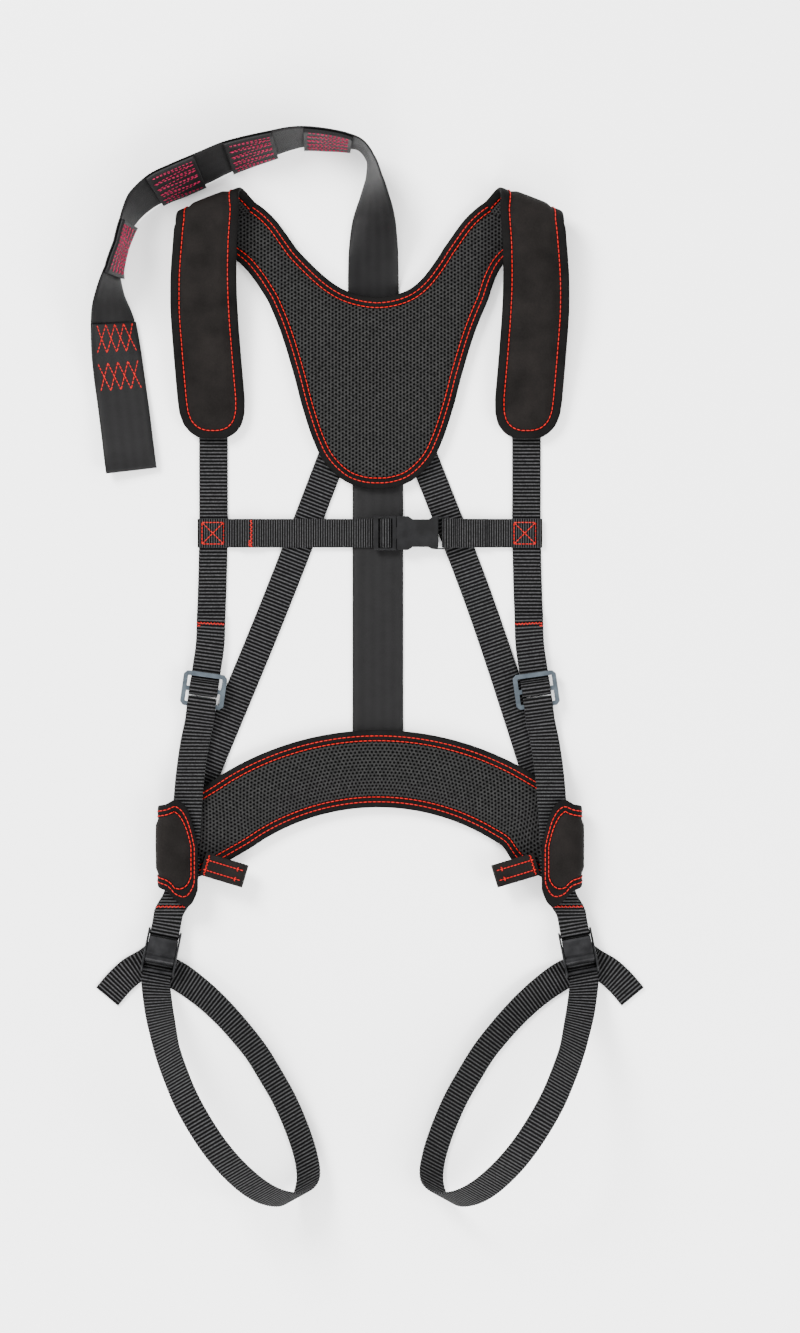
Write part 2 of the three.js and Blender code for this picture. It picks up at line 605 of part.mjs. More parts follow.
// Round the upper bar of the buckle, with both ends sewn together inside the hip flap
function legTab() {
  const inFold = BELT_Z + BELT_FOLD_RADIUS;
  const radius = TAB_BAR_RADIUS + GAP + WEB / 2;
  const over = TAB_BAR_Z + radius;
  const wrap = bend(TAB_BAR_ALONG, TAB_BAR_Z, radius, 90, -90, 8);
  const profile = [[TAB_BAR_ALONG - 8, over + 0.3], ...wrap, [TAB_BAR_ALONG - 5, TAB_BAR_Z - radius + 0.6],
    [TAB_BAR_ALONG - 11, over - 3.4], [TAB_BAR_ALONG - 18, over - 2.6]];
  const local = upright(CAM_CENTRE, camDirection, profile);
  const x = HIP_FOLD_X - WEB_WIDTH / 2;
  const edge = -BELT_WIDTH / 2;
  const start = [at(x - 3, -142, inFold), at(x - 1.5, -158, inFold), at(x + 4, edge - 142.5, inFold - 0.2),
    at(x + 12, edge - 158.5, over + 1.4)];
  return [...smooth([...start, local[0]], 3).slice(0, -1), ...local];
}

// From the loose end under the buckle, up through it, round the leg and back to the frame
function legWebbing() {
  const turnRadius = (THROUGH_Z - WEB / 2) / 2;
  const half = CAM_LENGTH / 2;
  const wrap = bend(-9, WEB / 2 + turnRadius, turnRadius, 270, 90, 8);
  const profile = [[-2, WEB / 2], ...wrap, [half, THROUGH_Z], [half + 5, THROUGH_Z + 1.5]];
  const local = upright(CAM_CENTRE, camDirection, profile);
  const tail = [at(232.6, -266, LOW, 0.77, 0.64), at(222, -253.5, LOW + 0.3, 0.72, 0.7),
    at(211, -243.5, LOW + 0.3, 0.6, 0.8), at(199, -236.5, LOW, 0.45, 0.89), at(190, -230, LOW, 0.75, 0.66)];
  const tailRoute = smooth([...tail, local[0]], 4).slice(0, -1);
  const near = [at(186.5, -272.6, 22, 1, -0.1, -0.1), at(182, -292, 40, 0.9, -0.3, -0.25),
    at(176.5, -312, 57, 0.8, -0.5, -0.35), at(168.5, -332, 73, 0.8, -0.5, -0.4),
    at(159.5, -351.3, 85, 0.8, -0.5, -0.4), at(148, -371.3, 91, 0.8, -0.5, -0.4),
    at(135, -391, 91, 0.8, -0.5, -0.4), at(119.5, -410.6, 82, 0.8, -0.5, -0.38),
    at(99, -430.6, 62, 0.82, -0.5, -0.35)];
  const bottom = [at(82, -440.5, 43, 0.85, -0.5, -0.34), at(67, -442.5, 26, 0.85, -0.5, -0.34),
    at(57.5, -436, 14, 0.85, -0.5, -0.4), at(54.5, -424, 9.5, 0.85, -0.5, -0.5)];
  const far = [at(56, -410, 8.2, 0.85, -0.5, -0.6), at(60, -395, 8, 0.83, -0.55, -0.62),
    at(67, -376, 8, 0.83, -0.55, -0.62), at(76.5, -355, 8, 0.83, -0.55, -0.62),
    at(88.5, -334, 8, 0.83, -0.58, -0.6), at(101, -314, 8, 0.8, -0.6, -0.6),
    at(113.7, -298, 7.6, 0.75, -0.65, -0.55), at(126, -284, 7, 0.7, -0.7, -0.5),
    at(141.2, -269, 6, 0.6, -0.8, -0.4), at(156, -257, 4, 0.55, -0.83, -0.25),
    at(168, -248.8, 2, 0.5, -0.86, -0.05), at(178.5, -243.2, 1.15, 0.5, -0.86, 0)];
  const loop = smooth([local[local.length - 1], ...near, ...bottom, ...far], 3).slice(1);
  return [...tailRoute, ...local, ...loop];
}

for (const [side, end] of sides) {
  part(`cam_frame_${end}`, 'steel', onLeg(side, camFrame()));
  part(`cam_lever_${end}`, 'steel', onLeg(side, camLever()));
  part(`cam_pin_${end}`, 'steel', onLeg(side, camPin()));
  part(`leg_tab_${end}`, 'webbing', strip(onSide(side, legTab()), WEB_WIDTH));
  part(`leg_webbing_${end}`, 'webbing', strip(onSide(side, legWebbing()), WEB_WIDTH));
}

// ---- Tether: wide webbing sewn under the yoke, with four doubled stretches and an end loop ----

// A station of wide webbing that heads along [dx, dy], tilted so that its right edge rises.
// Its lower edge is lifted clear of the surface by the given height.
function tilted(x, y, lift, dx, dy, tilt) {
  const right = V(dy, -dx, 0).normalize();
  const [c, s] = [Math.cos(radians(tilt)), Math.sin(radians(tilt))];
  const z = lift + (WIDE_WEB_WIDTH / 2) * s + (WIDE_WEB / 2) * c;
  return at(x, y, z, right.x * c, right.y * c, s);
}

// Stations moved off the strip's face, for a layer that lies against it
function beside(stations, offset) {
  const { binormals } = new StripRoute(stations).computeFrenetFrames();
  return stations.map((station, i) => {
    const p = station.p.clone().addScaledVector(binormals[i], offset);
    return { ...station, p };
  });
}

const TETHER = [
  tilted(3, 330, 0, 0, 1, 0), tilted(3, 362, 0, 0, 1, 0), tilted(3, 390, 1.6, 0, 1, 12),
  tilted(3.4, 418, 1.4, 0, 1, 32), tilted(4, 440, 0.4, 0, 1, 55), tilted(3.5, 458, 0.3, 0, 1, 72),
  tilted(0.5, 474, 0.3, -0.4, 1, 82), tilted(-8, 485.5, 0.3, -1, 0.7, 82),
  tilted(-20, 489.5, 0.3, -1, 0.16, 78), tilted(-38, 492, 0.3, -1, 0.1, 74),
  tilted(-58, 493.2, 0.3, -1, 0, 72), tilted(-70, 491.6, 0.3, -1, -0.15, 69),
  tilted(-86, 487.5, 0.3, -1, -0.25, 66), tilted(-106, 482, 0.3, -1, -0.28, 62),
  tilted(-126, 475.5, 0.3, -1, -0.35, 58), tilted(-146, 466.5, 0.3, -1, -0.42, 56),
  tilted(-168, 457, 0.3, -1, -0.42, 55), tilted(-188, 448, 0.4, -1, -0.6, 57),
  tilted(-204, 435, 0.5, -0.8, -1, 64), tilted(-214, 418, 0.4, -0.4, -1, 76),
  tilted(-221, 398, 0.4, -0.35, -1, 80), tilted(-227, 376, 0.6, -0.25, -1, 76),
  tilted(-229, 354, 1.2, -0.05, -1, 58), tilted(-227, 330, 0.8, 0.1, -1, 34),
  tilted(-224, 300, 0.4, 0.1, -1, 16), tilted(-221, 276, 0.3, 0.1, -1, 8),
  tilted(-217.5, 252, 0.3, 0.12, -1, 6),
];
const END_LOOP = [
  tilted(-214.3, 226, 0.3, 0.12, -1, 6), tilted(-212, 208, 0.4, 0.12, -1, 6),
  tilted(-211.2, 202, 1.2, 0.12, -1, 6), tilted(-210.9, 199.6, 3.2, 0.12, -1, 6),
  tilted(-211.3, 202, 5.2, 0.12, -1, 6), tilted(-212.6, 212, 6.2, 0.12, -1, 6),
  tilted(-214.7, 230, 5.2, 0.12, -1, 6),
];
// Short steps, so that the two faces of the thin webbing stay apart where it twists
const TETHER_STEPS = 9;
const SEWN_FROM = 23;
const LAYER_STEP = WIDE_WEB + 1.5 * GAP;

// Out along the tether, round the end loop, and back on top of it to the end of the sewn stretch
const outward = smooth([...TETHER, ...END_LOOP], TETHER_STEPS);
const onTop = beside(outward.slice(0, (TETHER.length - 1) * TETHER_STEPS + 1), -LAYER_STEP);
const returned = onTop.slice(SEWN_FROM * TETHER_STEPS, -TETHER_STEPS).reverse();
const tether = strip([...outward, ...returned], WIDE_WEB_WIDTH, -WIDE_WEB / 2, WIDE_WEB / 2);
part('tether_webbing', 'tether', tether);

// The folded stretches lie on the upper face, each between two of the tether's stations
const FOLDED = [[7.6, 10], [11.8, 14], [15.2, 17.2], [19, 21.3]];
for (const [i, ends] of FOLDED.entries()) {
  const [from, to] = ends.map((end) => Math.round(end * TETHER_STEPS));
  const top = -WIDE_WEB / 2 - 2 * GAP;
  const route = outward.slice(from, to + 1);
  part(`tether_fold_${i + 1}`, 'tether', strip(route, WIDE_WEB_WIDTH, top - 2 * WIDE_WEB, top));
}

export default group;
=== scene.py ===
import json
import math
import bpy
import numpy as np
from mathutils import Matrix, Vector
from mathutils.geometry import delaunay_2d_cdt

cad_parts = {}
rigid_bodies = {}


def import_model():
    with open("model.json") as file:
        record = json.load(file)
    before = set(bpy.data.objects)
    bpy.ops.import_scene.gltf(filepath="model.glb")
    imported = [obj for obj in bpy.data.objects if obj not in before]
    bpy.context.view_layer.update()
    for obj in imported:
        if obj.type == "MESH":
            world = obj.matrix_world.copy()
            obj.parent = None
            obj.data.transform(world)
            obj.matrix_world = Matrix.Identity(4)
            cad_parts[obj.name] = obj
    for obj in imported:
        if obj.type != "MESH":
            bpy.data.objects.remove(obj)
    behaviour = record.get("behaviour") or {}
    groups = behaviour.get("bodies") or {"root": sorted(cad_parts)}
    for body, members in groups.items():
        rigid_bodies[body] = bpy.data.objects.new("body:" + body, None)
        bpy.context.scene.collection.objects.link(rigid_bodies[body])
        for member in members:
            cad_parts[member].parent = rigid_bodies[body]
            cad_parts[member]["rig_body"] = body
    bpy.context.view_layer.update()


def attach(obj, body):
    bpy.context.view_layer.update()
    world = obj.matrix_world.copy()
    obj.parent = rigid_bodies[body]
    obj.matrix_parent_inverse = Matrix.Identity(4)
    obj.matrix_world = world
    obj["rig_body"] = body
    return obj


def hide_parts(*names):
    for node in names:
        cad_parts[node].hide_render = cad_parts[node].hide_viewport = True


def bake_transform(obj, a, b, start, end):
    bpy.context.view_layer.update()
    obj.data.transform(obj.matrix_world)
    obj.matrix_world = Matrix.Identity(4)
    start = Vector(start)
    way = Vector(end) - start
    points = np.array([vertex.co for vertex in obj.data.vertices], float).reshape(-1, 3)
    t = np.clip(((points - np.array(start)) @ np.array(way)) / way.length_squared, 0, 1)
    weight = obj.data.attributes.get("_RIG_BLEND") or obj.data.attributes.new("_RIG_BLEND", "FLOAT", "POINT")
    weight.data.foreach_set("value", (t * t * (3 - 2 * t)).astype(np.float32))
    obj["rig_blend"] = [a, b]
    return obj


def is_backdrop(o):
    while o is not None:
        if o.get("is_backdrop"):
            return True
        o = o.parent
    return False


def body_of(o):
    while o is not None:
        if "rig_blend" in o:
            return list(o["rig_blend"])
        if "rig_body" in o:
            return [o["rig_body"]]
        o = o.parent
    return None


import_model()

# A safety harness vest laid out with its lining up. Shapes are in millimetres, in the frame's own axes.
MM = 0.001
WEB_WIDTH, WEB = 25.4, 1.8
WIDE_WIDTH, WIDE = 45.0, 1.5
GAP = 0.4
SKIN, FOAM = 1.2, 5.4
PANEL = 2 * SKIN + FOAM + 2 * GAP
PANEL_Z = WEB + GAP + PANEL / 2
BACK_SHIFT = 7.0
SIDES = ((-1, "left"), (1, "right"))
UP = np.array((0.0, 0.0, 1.0))


# ---- Camera, floor and lights ----

def add_object(name, data):
    obj = bpy.data.objects.new(name, data)
    bpy.context.collection.objects.link(obj)
    return obj


def aim(obj, target):
    obj.rotation_euler = (Vector(target) - obj.location).to_track_quat("-Z", "Y").to_euler()


def make_camera():
    height, shown = 5.0, 1.18
    data = bpy.data.cameras.new("camera")
    data.sensor_fit = "VERTICAL"
    data.sensor_height = 36
    data.lens = data.sensor_height * height / shown
    data.clip_end = 40
    camera = add_object("camera", data)
    camera.location = (0.0266, 0.0261, height)
    bpy.context.scene.camera = camera


def make_light(name, place, size, power):
    data = bpy.data.lights.new(name, "AREA")
    data.shape = "SQUARE"
    data.size = size
    data.energy = power
    light = add_object(name, data)
    light.location = place
    aim(light, (0, 0, 0))


def make_floor():
    material = bpy.data.materials.new("pale_floor")
    material.use_nodes = True
    shader = material.node_tree.nodes["Principled BSDF"]
    shader.inputs["Base Color"].default_value = (0.98, 0.98, 0.98, 1)
    shader.inputs["Roughness"].default_value = 0.9
    mesh = bpy.data.meshes.new("floor")
    half = 12.0
    corners = [(-half, -half, 0), (half, -half, 0), (half, half, 0), (-half, half, 0)]
    mesh.from_pydata(corners, [], [(0, 1, 2, 3)])
    mesh.materials.append(material)
    floor = add_object("floor", mesh)
    floor.location.z = -0.0006
    floor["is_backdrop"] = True


def make_stage():
    make_camera()
    make_floor()
    make_light("key", (-2.2, 2.4, 2.6), 1.6, 420)
    make_light("fill", (2.6, -1.2, 2.2), 1.8, 160)
    make_light("low", (-0.4, -2.6, 1.8), 1.4, 120)
    world = bpy.data.worlds.new("studio")
    bpy.context.scene.world = world
    world.use_nodes = True
    world.node_tree.nodes["Background"].inputs["Color"].default_value = (1, 1, 1, 1)
    world.node_tree.nodes["Background"].inputs["Strength"].default_value = 1.9


# ---- Materials: every pattern is drawn in metres along and across the cloth ----

class Paint:
    """A small builder for one procedural material."""

    def __init__(self, name, roughness, metallic=0.0, specular=0.07, coat=0.0):
        self.material = bpy.data.materials.new(name)
        self.material.use_nodes = True
        self.tree = self.material.node_tree
        self.shader = self.tree.nodes["Principled BSDF"]
        self.shader.inputs["Roughness"].default_value = roughness
        self.shader.inputs["Metallic"].default_value = metallic
        self.shader.inputs["Specular IOR Level"].default_value = specular
        self.shader.inputs["Coat Weight"].default_value = coat

    def node(self, kind, inputs=(), **settings):
        node = self.tree.nodes.new(kind)
        for key, value in settings.items():
            setattr(node, key, value)
        for key, value in dict(inputs).items():
            if isinstance(value, bpy.types.NodeSocket):
                self.tree.links.new(value, node.inputs[key])
            else:
                node.inputs[key].default_value = value
        return node

    def math(self, operation, a, b=0.0):
        return self.node("ShaderNodeMath", {0: a, 1: b}, operation=operation).outputs[0]

    def uv(self):
        coordinates = self.node("ShaderNodeTexCoord").outputs["UV"]
        split = self.node("ShaderNodeSeparateXYZ", {0: coordinates})
        return split.outputs[0], split.outputs[1]

    def wave(self, coordinate, pitch):
        """0 to 1 and back once in every pitch millimetres, 1 at the start."""
        angle = self.math("MULTIPLY", coordinate, 2 * math.pi / (pitch * MM))
        return self.math("ADD", self.math("MULTIPLY", self.math("COSINE", angle), 0.5), 0.5)

    def noise(self, size, detail=2.0):
        place = self.node("ShaderNodeTexCoord").outputs["Object"]
        found = self.node("ShaderNodeTexNoise", {"Vector": place, "Scale": 1 / (size * MM), "Detail": detail})
        return found.outputs["Fac"]

    def ramp(self, value, low, high, dark, light):
        share = self.node("ShaderNodeMapRange", {0: value, 1: low, 2: high}).outputs[0]
        mix = self.node("ShaderNodeMix", data_type="RGBA")
        self.tree.links.new(share, mix.inputs[0])
        mix.inputs[6].default_value = (*dark, 1)
        mix.inputs[7].default_value = (*light, 1)
        return mix.outputs[2]

    def color(self, socket):
        self.tree.links.new(socket, self.shader.inputs["Base Color"])

    def rough(self, value, low, high):
        share = self.node("ShaderNodeMapRange", {0: value, 1: 0.0, 2: 1.0, 3: low, 4: high}).outputs[0]
        self.tree.links.new(share, self.shader.inputs["Roughness"])

    def bump(self, height, depth):
        bump = self.node("ShaderNodeBump", {"Height": height, "Distance": depth * MM, "Strength": 1.0})
        self.tree.links.new(bump.outputs[0], self.shader.inputs["Normal"])


# Distances between the cross ribs of the straps and of the chest strap
RIB = 3.1
FINE_RIB = 2.1


def webbing_paint(name, pitch):
    paint = Paint(name, 0.6, specular=0.04)
    u, v = paint.uv()
    ridge = paint.wave(v, pitch)
    yarn = paint.wave(u, 0.9)
    fleck = paint.noise(1.3, 3)
    # The colour is lightest on the ridges of the ribs and near black in the grooves, in step with the ribs of the
    # mesh: painted highlight on the ridges and painted shade in the grooves, with random flecks and the yarn lines
    # mixed in.
    lit = paint.math("MULTIPLY", ridge, paint.math("ADD", paint.math("MULTIPLY", fleck, 0.9), 0.35))
    lit = paint.math("MULTIPLY", lit, paint.math("ADD", paint.math("MULTIPLY", yarn, 0.35), 0.75))
    paint.color(paint.ramp(lit, 0.32, 1.0, (0.0002, 0.0002, 0.0002), (0.052, 0.052, 0.0535)))
    height = paint.math("ADD", paint.math("MULTIPLY", yarn, ridge), paint.math("MULTIPLY", fleck, 0.5))
    paint.bump(height, 0.18)
    return paint.material


def tether_paint():
    paint = Paint("smooth_webbing", 0.42, specular=0.11)
    u, v = paint.uv()
    twill = paint.wave(paint.math("ADD", u, v), 1.3)
    stripe = paint.wave(u, 9.0)
    cloud = paint.noise(14, 2)
    lit = paint.math("ADD", paint.math("MULTIPLY", twill, 0.35), paint.math("MULTIPLY", stripe, 0.25))
    lit = paint.math("ADD", lit, paint.math("MULTIPLY", cloud, 0.4))
    paint.color(paint.ramp(lit, 0.1, 0.95, (0.0014, 0.0013, 0.0014), (0.005, 0.0048, 0.0051)))
    paint.bump(twill, 0.08)
    paint.rough(cloud, 0.36, 0.55)
    return paint.material


def nylon_paint(name="shell_nylon", dark=(0.0028, 0.0024, 0.0022), light=(0.0088, 0.0075, 0.007)):
    paint = Paint(name, 0.75, specular=0.04)
    u, v = paint.uv()
    weave = paint.math("MULTIPLY", paint.wave(u, 0.8), paint.wave(v, 0.8))
    cloud = paint.noise(22, 4)
    grain = paint.noise(1.0, 2)
    lit = paint.math("ADD", paint.math("MULTIPLY", cloud, 0.6), paint.math("MULTIPLY", grain, 0.4))
    paint.color(paint.ramp(lit, 0.3, 0.72, dark, light))
    folds = paint.math("MULTIPLY", paint.noise(7, 4), 1.6)
    height = paint.math("ADD", paint.math("MULTIPLY", weave, 0.3), folds)
    paint.bump(height, 0.35)
    paint.rough(grain, 0.6, 0.85)
    return paint.material


def mesh_paint():
    paint = Paint("air_mesh", 0.8, specular=0.03)
    u, v = paint.uv()
    pitch = 3.0
    slants = [(1.0, 0.0), (0.5, 0.866), (0.5, -0.866)]
    total = 0.0
    for a, b in slants:
        along = paint.math("ADD", paint.math("MULTIPLY", u, a), paint.math("MULTIPLY", v, b))
        total = paint.math("ADD", paint.wave(along, pitch), total)
    hole = paint.node("ShaderNodeMapRange", {0: total, 1: 1.55, 2: 2.0}).outputs[0]
    rim = paint.math("MULTIPLY", paint.math("SUBTRACT", 1.0, hole), paint.noise(1.6, 3))
    # The holes of the mesh are real, and their near-black colour is painted shade inside them; the threads between
    # the holes vary in tone at random.
    paint.color(paint.ramp(rim, 0.1, 0.75, (0.0001, 0.0001, 0.0001), (0.023, 0.0228, 0.0225)))
    paint.bump(paint.math("SUBTRACT", 1.0, hole), 0.7)
    return paint.material


def thread_paint(name, dark, light):
    paint = Paint(name, 0.6, specular=0.1)
    paint.color(paint.ramp(paint.noise(1.5, 3), 0.25, 0.75, dark, light))
    paint.bump(paint.noise(0.35, 2), 0.1)
    return paint.material


def hard_paint(name, dark, light, roughness, metallic=0.0, coat=0.0, grain=0.03):
    paint = Paint(name, roughness, metallic, 0.14, coat)
    wear = paint.noise(9, 5)
    paint.color(paint.ramp(wear, 0.35, 0.7, dark, light))
    paint.rough(paint.noise(2.2, 4), roughness * 0.8, roughness * 1.25)
    paint.bump(paint.noise(0.8, 3), grain)
    return paint.material


def make_paints():
    return {
        "webbing": webbing_paint("ribbed_webbing", RIB),
        "fine": webbing_paint("fine_ribbed_webbing", FINE_RIB),
        "tether": tether_paint(),
        "nylon": nylon_paint(),
        "binding": nylon_paint("edge_tape", (0.0014, 0.0013, 0.0013), (0.005, 0.0047, 0.0046)),
        "mesh": mesh_paint(),
        "red": thread_paint("red_thread", (0.22, 0.003, 0.002), (0.52, 0.009, 0.005)),
        "magenta": thread_paint("magenta_thread", (0.16, 0.005, 0.03), (0.5, 0.014, 0.08)),
        "gloss": hard_paint("gloss_plastic", (0.003, 0.003, 0.0032), (0.006, 0.006, 0.0065), 0.24, coat=0.05),
        "slider": hard_paint("coated_metal", (0.03, 0.038, 0.046), (0.058, 0.072, 0.085), 0.42, 0.3),
        "steel": hard_paint("black_steel", (0.005, 0.005, 0.0055), (0.014, 0.014, 0.015), 0.38, 0.4,
                            grain=0.05),
    }


# ---- Meshes ----

def make_mesh(name, verts, faces, paint, uv=None):
    mesh = bpy.data.meshes.new(name)
    mesh.from_pydata((np.asarray(verts) * MM).tolist(), [], faces)
    mesh.materials.append(paint)
    if uv is not None:
        layer = mesh.uv_layers.new(name="cloth")
        loops = np.empty(len(mesh.loops), np.int32)
        mesh.loops.foreach_get("vertex_index", loops)
        layer.data.foreach_set("uv", (np.asarray(uv) * MM)[loops].astype(np.float32).ravel())
    mesh.polygons.foreach_set("use_smooth", np.ones(len(mesh.polygons), bool))
    mesh.update()
    return add_object(name, mesh)


def at(x, y, z, wx=1.0, wy=0.0, wz=0.0, s=1.0):
    w = np.array((wx, wy, wz), float)
    return np.array((x, y, z), float), w / np.linalg.norm(w), s


def spline(points, per_span):
    """Points along a centripetal Catmull-Rom curve, per_span in each span."""
    points = np.asarray(points, float)
    padded = np.vstack([2 * points[0] - points[1], points, 2 * points[-1] - points[-2]])
    t = (np.arange(per_span) / per_span)[:, None]
    out = []
    for i in range(len(points) - 1):
        p0, p1, p2, p3 = padded[i:i + 4]
        d0, d1, d2 = (max(np.linalg.norm(b - a) ** 0.5, 1e-3) for a, b in ((p0, p1), (p1, p2), (p2, p3)))
        m1 = ((p1 - p0) / d0 - (p2 - p0) / (d0 + d1) + (p2 - p1) / d1) * d1
        m2 = ((p2 - p1) / d1 - (p3 - p1) / (d1 + d2) + (p3 - p2) / d2) * d1
        out.append((2 * t ** 3 - 3 * t ** 2 + 1) * p1 + (t ** 3 - 2 * t ** 2 + t) * m1
                   + (3 * t ** 2 - 2 * t ** 3) * p2 + (t ** 3 - t ** 2) * m2)
    return np.vstack([*out, points[-1:]])


def on_side(side, stations):
    if side > 0:
        return stations
    flip, turn = np.array((-1, 1, 1)), np.array((1, -1, -1))
    return [(p * flip, w * turn, s) for p, w, s in stations]


def upright(origin, direction, profile):
    """Stations of a strip seen from its side, as [distance along, height] pairs."""
    direction = np.asarray(direction, float)
    w = np.cross(UP, direction)
    base = np.array((*origin, 0.0))
    return [(base + direction * along + UP * z, w, 1.0) for along, z in profile]


def bend(along, z, radius, start, stop, steps=8):
    angles = np.radians(np.linspace(start, stop, steps + 1))
    return [(along + radius * math.cos(a), z + radius * math.sin(a)) for a in angles]


def downwards(degrees):
    angle = math.radians(degrees)
    return np.array((math.sin(angle), -math.cos(angle), 0.0))


def look_up(places, measured, values):
    """Rows of values at the given places, where measured holds the place of each row."""
    return np.stack([np.interp(places, measured, values[:, k]) for k in range(values.shape[1])], axis=-1)


class Strip:
    """A strip of cloth: evenly spaced stations with their width line and facing direction."""

    def __init__(self, stations, spacing, per_span=16):
        points = spline([p for p, _, _ in stations], per_span)
        knots = np.arange(len(stations))
        places = np.linspace(0, len(stations) - 1, len(points))
        widths = look_up(places, knots, np.array([w for _, w, _ in stations]))
        shares = np.interp(places, knots, [s for _, _, s in stations])
        steps = np.linalg.norm(np.diff(points, axis=0), axis=1)
        measured = np.concatenate([[0], np.cumsum(steps)])
        self.length = measured[-1]
        count = max(int(round(self.length / spacing)), 2)
        self.v = np.linspace(0, self.length, count + 1)
        self.p = look_up(self.v, measured, points)
        self.w = look_up(self.v, measured, widths)
        self.s = np.interp(self.v, measured, shares)
        self.settle()

    def settle(self):
        tangent = np.gradient(self.p, axis=0)
        self.t = tangent / np.linalg.norm(tangent, axis=1)[:, None]
        self.w = self.w / np.linalg.norm(self.w, axis=1)[:, None]
        facing = np.cross(self.t, self.w)
        size = np.linalg.norm(facing, axis=1)[:, None]
        self.across = self.w / size
        self.face = facing / size

    def part(self, start, stop):
        """The stretch between two distances along the strip."""
        piece = object.__new__(Strip)
        kept = (self.v >= start) & (self.v <= stop)
        piece.v = self.v[kept] - self.v[kept][0]
        piece.p, piece.w, piece.s = self.p[kept], self.w[kept], self.s[kept]
        piece.length = piece.v[-1]
        piece.settle()
        return piece

    def place(self, x, v, height):
        """Points at x across, v along and height above the middle, with the facing direction there."""
        x, v, height = np.broadcast_arrays(x, v, height)
        middle = look_up(v, self.v, self.p)
        across = look_up(v, self.v, self.across)
        face = look_up(v, self.v, self.face)
        return middle + across * x[..., None] + face * height[..., None], face


def tube_faces(rings, size):
    """Quads between rings of points, closed by a face at each end."""
    faces = []
    for i in range(rings - 1):
        for j in range(size):
            k = (j + 1) % size
            faces.append((i * size + j, (i + 1) * size + j, (i + 1) * size + k, i * size + k))
    faces.append(tuple(range(size)))
    faces.append(tuple(reversed(range((rings - 1) * size, rings * size))))
    return faces


def make_webbing(name, strip, width, thick, paint, rib=0.17, pitch=RIB):
    """Woven tape with cross ribs on both faces and slightly scalloped edges."""
    flat = np.array((-0.975, -0.8, -0.5, -0.17, 0.17, 0.5, 0.8, 0.975))
    x = np.concatenate([flat, [1.0, 1.0], flat[::-1], [-1.0, -1.0]])
    y = np.concatenate([np.ones(8), [0.45, -0.45], -np.ones(8), [-0.45, 0.45]])
    wave = np.cos(2 * np.pi * strip.v / pitch)[:, None]
    half = width / 2 * strip.s[:, None]
    across = x[None, :] * (half + 0.12 * wave)
    up = y[None, :] * (thick / 2 - rib + rib * wave)
    verts = (strip.p[:, None, :] + strip.across[:, None, :] * across[..., None]
             + strip.face[:, None, :] * up[..., None])
    uv = np.stack([across, np.broadcast_to(strip.v[:, None], across.shape)], axis=-1)
    faces = tube_faces(len(strip.v), len(x))
    return make_mesh(name, verts.reshape(-1, 3), faces, paint, uv.reshape(-1, 2))


class Thread:
    """Collects stitches: each is a short, plump length of thread lying on the cloth."""

    SIDES = 6
    # Share of the length, share of the radius and lift of each ring
    RINGS = ((0, 0.45, -0.9), (0.14, 0.9, 0.25), (0.5, 1.0, 0.55), (0.86, 0.9, 0.25), (1, 0.45, -0.9))

    def __init__(self, radius):
        self.radius = radius
        self.verts = []
        self.faces = []

    def stitch(self, a, b, normal):
        a, b, normal = (np.asarray(k, float) for k in (a, b, normal))
        along = b - a
        length = np.linalg.norm(along)
        if length < 0.2:
            return
        along = along / length
        side = np.cross(along, normal)
        side /= np.linalg.norm(side)
        out = np.cross(side, along)
        turn = np.arange(self.SIDES) * 2 * np.pi / self.SIDES
        ring = np.cos(turn)[:, None] * side + np.sin(turn)[:, None] * out
        start = len(self.verts) * self.SIDES
        for share, size, lift in self.RINGS:
            centre = a + along * length * share + out * self.radius * lift
            self.verts.append(centre + ring * self.radius * size)
        self.faces += [tuple(start + k for k in face) for face in tube_faces(len(self.RINGS), self.SIDES)]

    def run(self, points, normals, length=3.4, gap=0.7):
        """A row of stitches along a line of points."""
        points, normals = np.asarray(points, float), np.asarray(normals, float)
        steps = np.linalg.norm(np.diff(points, axis=0), axis=1)
        measured = np.concatenate([[0], np.cumsum(steps)])
        count = max(int(round(measured[-1] / (length + gap))), 1)
        pitch = measured[-1] / count
        starts = np.arange(count) * pitch
        heads = look_up(starts, measured, points)
        tails = look_up(starts + pitch - gap, measured, points)
        facing = look_up(starts + pitch / 2, measured, normals)
        for head, tail, normal in zip(heads, tails, facing):
            self.stitch(head, tail, normal)

    def on(self, strip, corners, height, **spacing):
        """A row over a strip through (x across, v along) corners."""
        corners = np.asarray(corners, float)
        for (x0, v0), (x1, v1) in zip(corners[:-1], corners[1:]):
            count = max(int(math.hypot(x1 - x0, v1 - v0) / 2), 2)
            points, normals = strip.place(np.linspace(x0, x1, count), np.linspace(v0, v1, count), height)
            self.run(points, normals * math.copysign(1, height), **spacing)

    def make(self, name, paint):
        return make_mesh(name, np.vstack(self.verts), self.faces, paint)


# ---- Padded panels: two faces quilted together along a bound edge ----

def distance_to(points, a, b):
    """Distance from each point to the nearest of the segments from a to b."""
    nearest = np.full(len(points), 1e9)
    for start, stop in zip(a, b):
        run = stop - start
        share = np.clip((points - start) @ run / max(run @ run, 1e-12), 0, 1)
        nearest = np.minimum(nearest, np.linalg.norm(points - start - share[:, None] * run, axis=1))
    return nearest


def inside(points, outline):
    """Which points lie within a closed outline."""
    hit = np.zeros(len(points), bool)
    for (x0, y0), (x1, y1) in zip(outline, np.roll(outline, -1, axis=0)):
        spans = (y0 > points[:, 1]) != (y1 > points[:, 1])
        height = (y1 - y0) if abs(y1 - y0) > 1e-12 else 1e-12
        hit ^= spans & (points[:, 0] < (x1 - x0) * (points[:, 1] - y0) / height + x0)
    return hit


def rumple(x, v, seed):
    """A gentle unevenness of hand-sewn cloth, from -1 to 1."""
    rng = np.random.default_rng(seed)
    total = 0.0
    for wavelength in (17, 23, 31, 45, 70):
        turn, phase = rng.uniform(0, 2 * math.pi, 2)
        total = total + np.sin(2 * math.pi / wavelength * (x * math.cos(turn) + v * math.sin(turn)) + phase)
    return total / 5


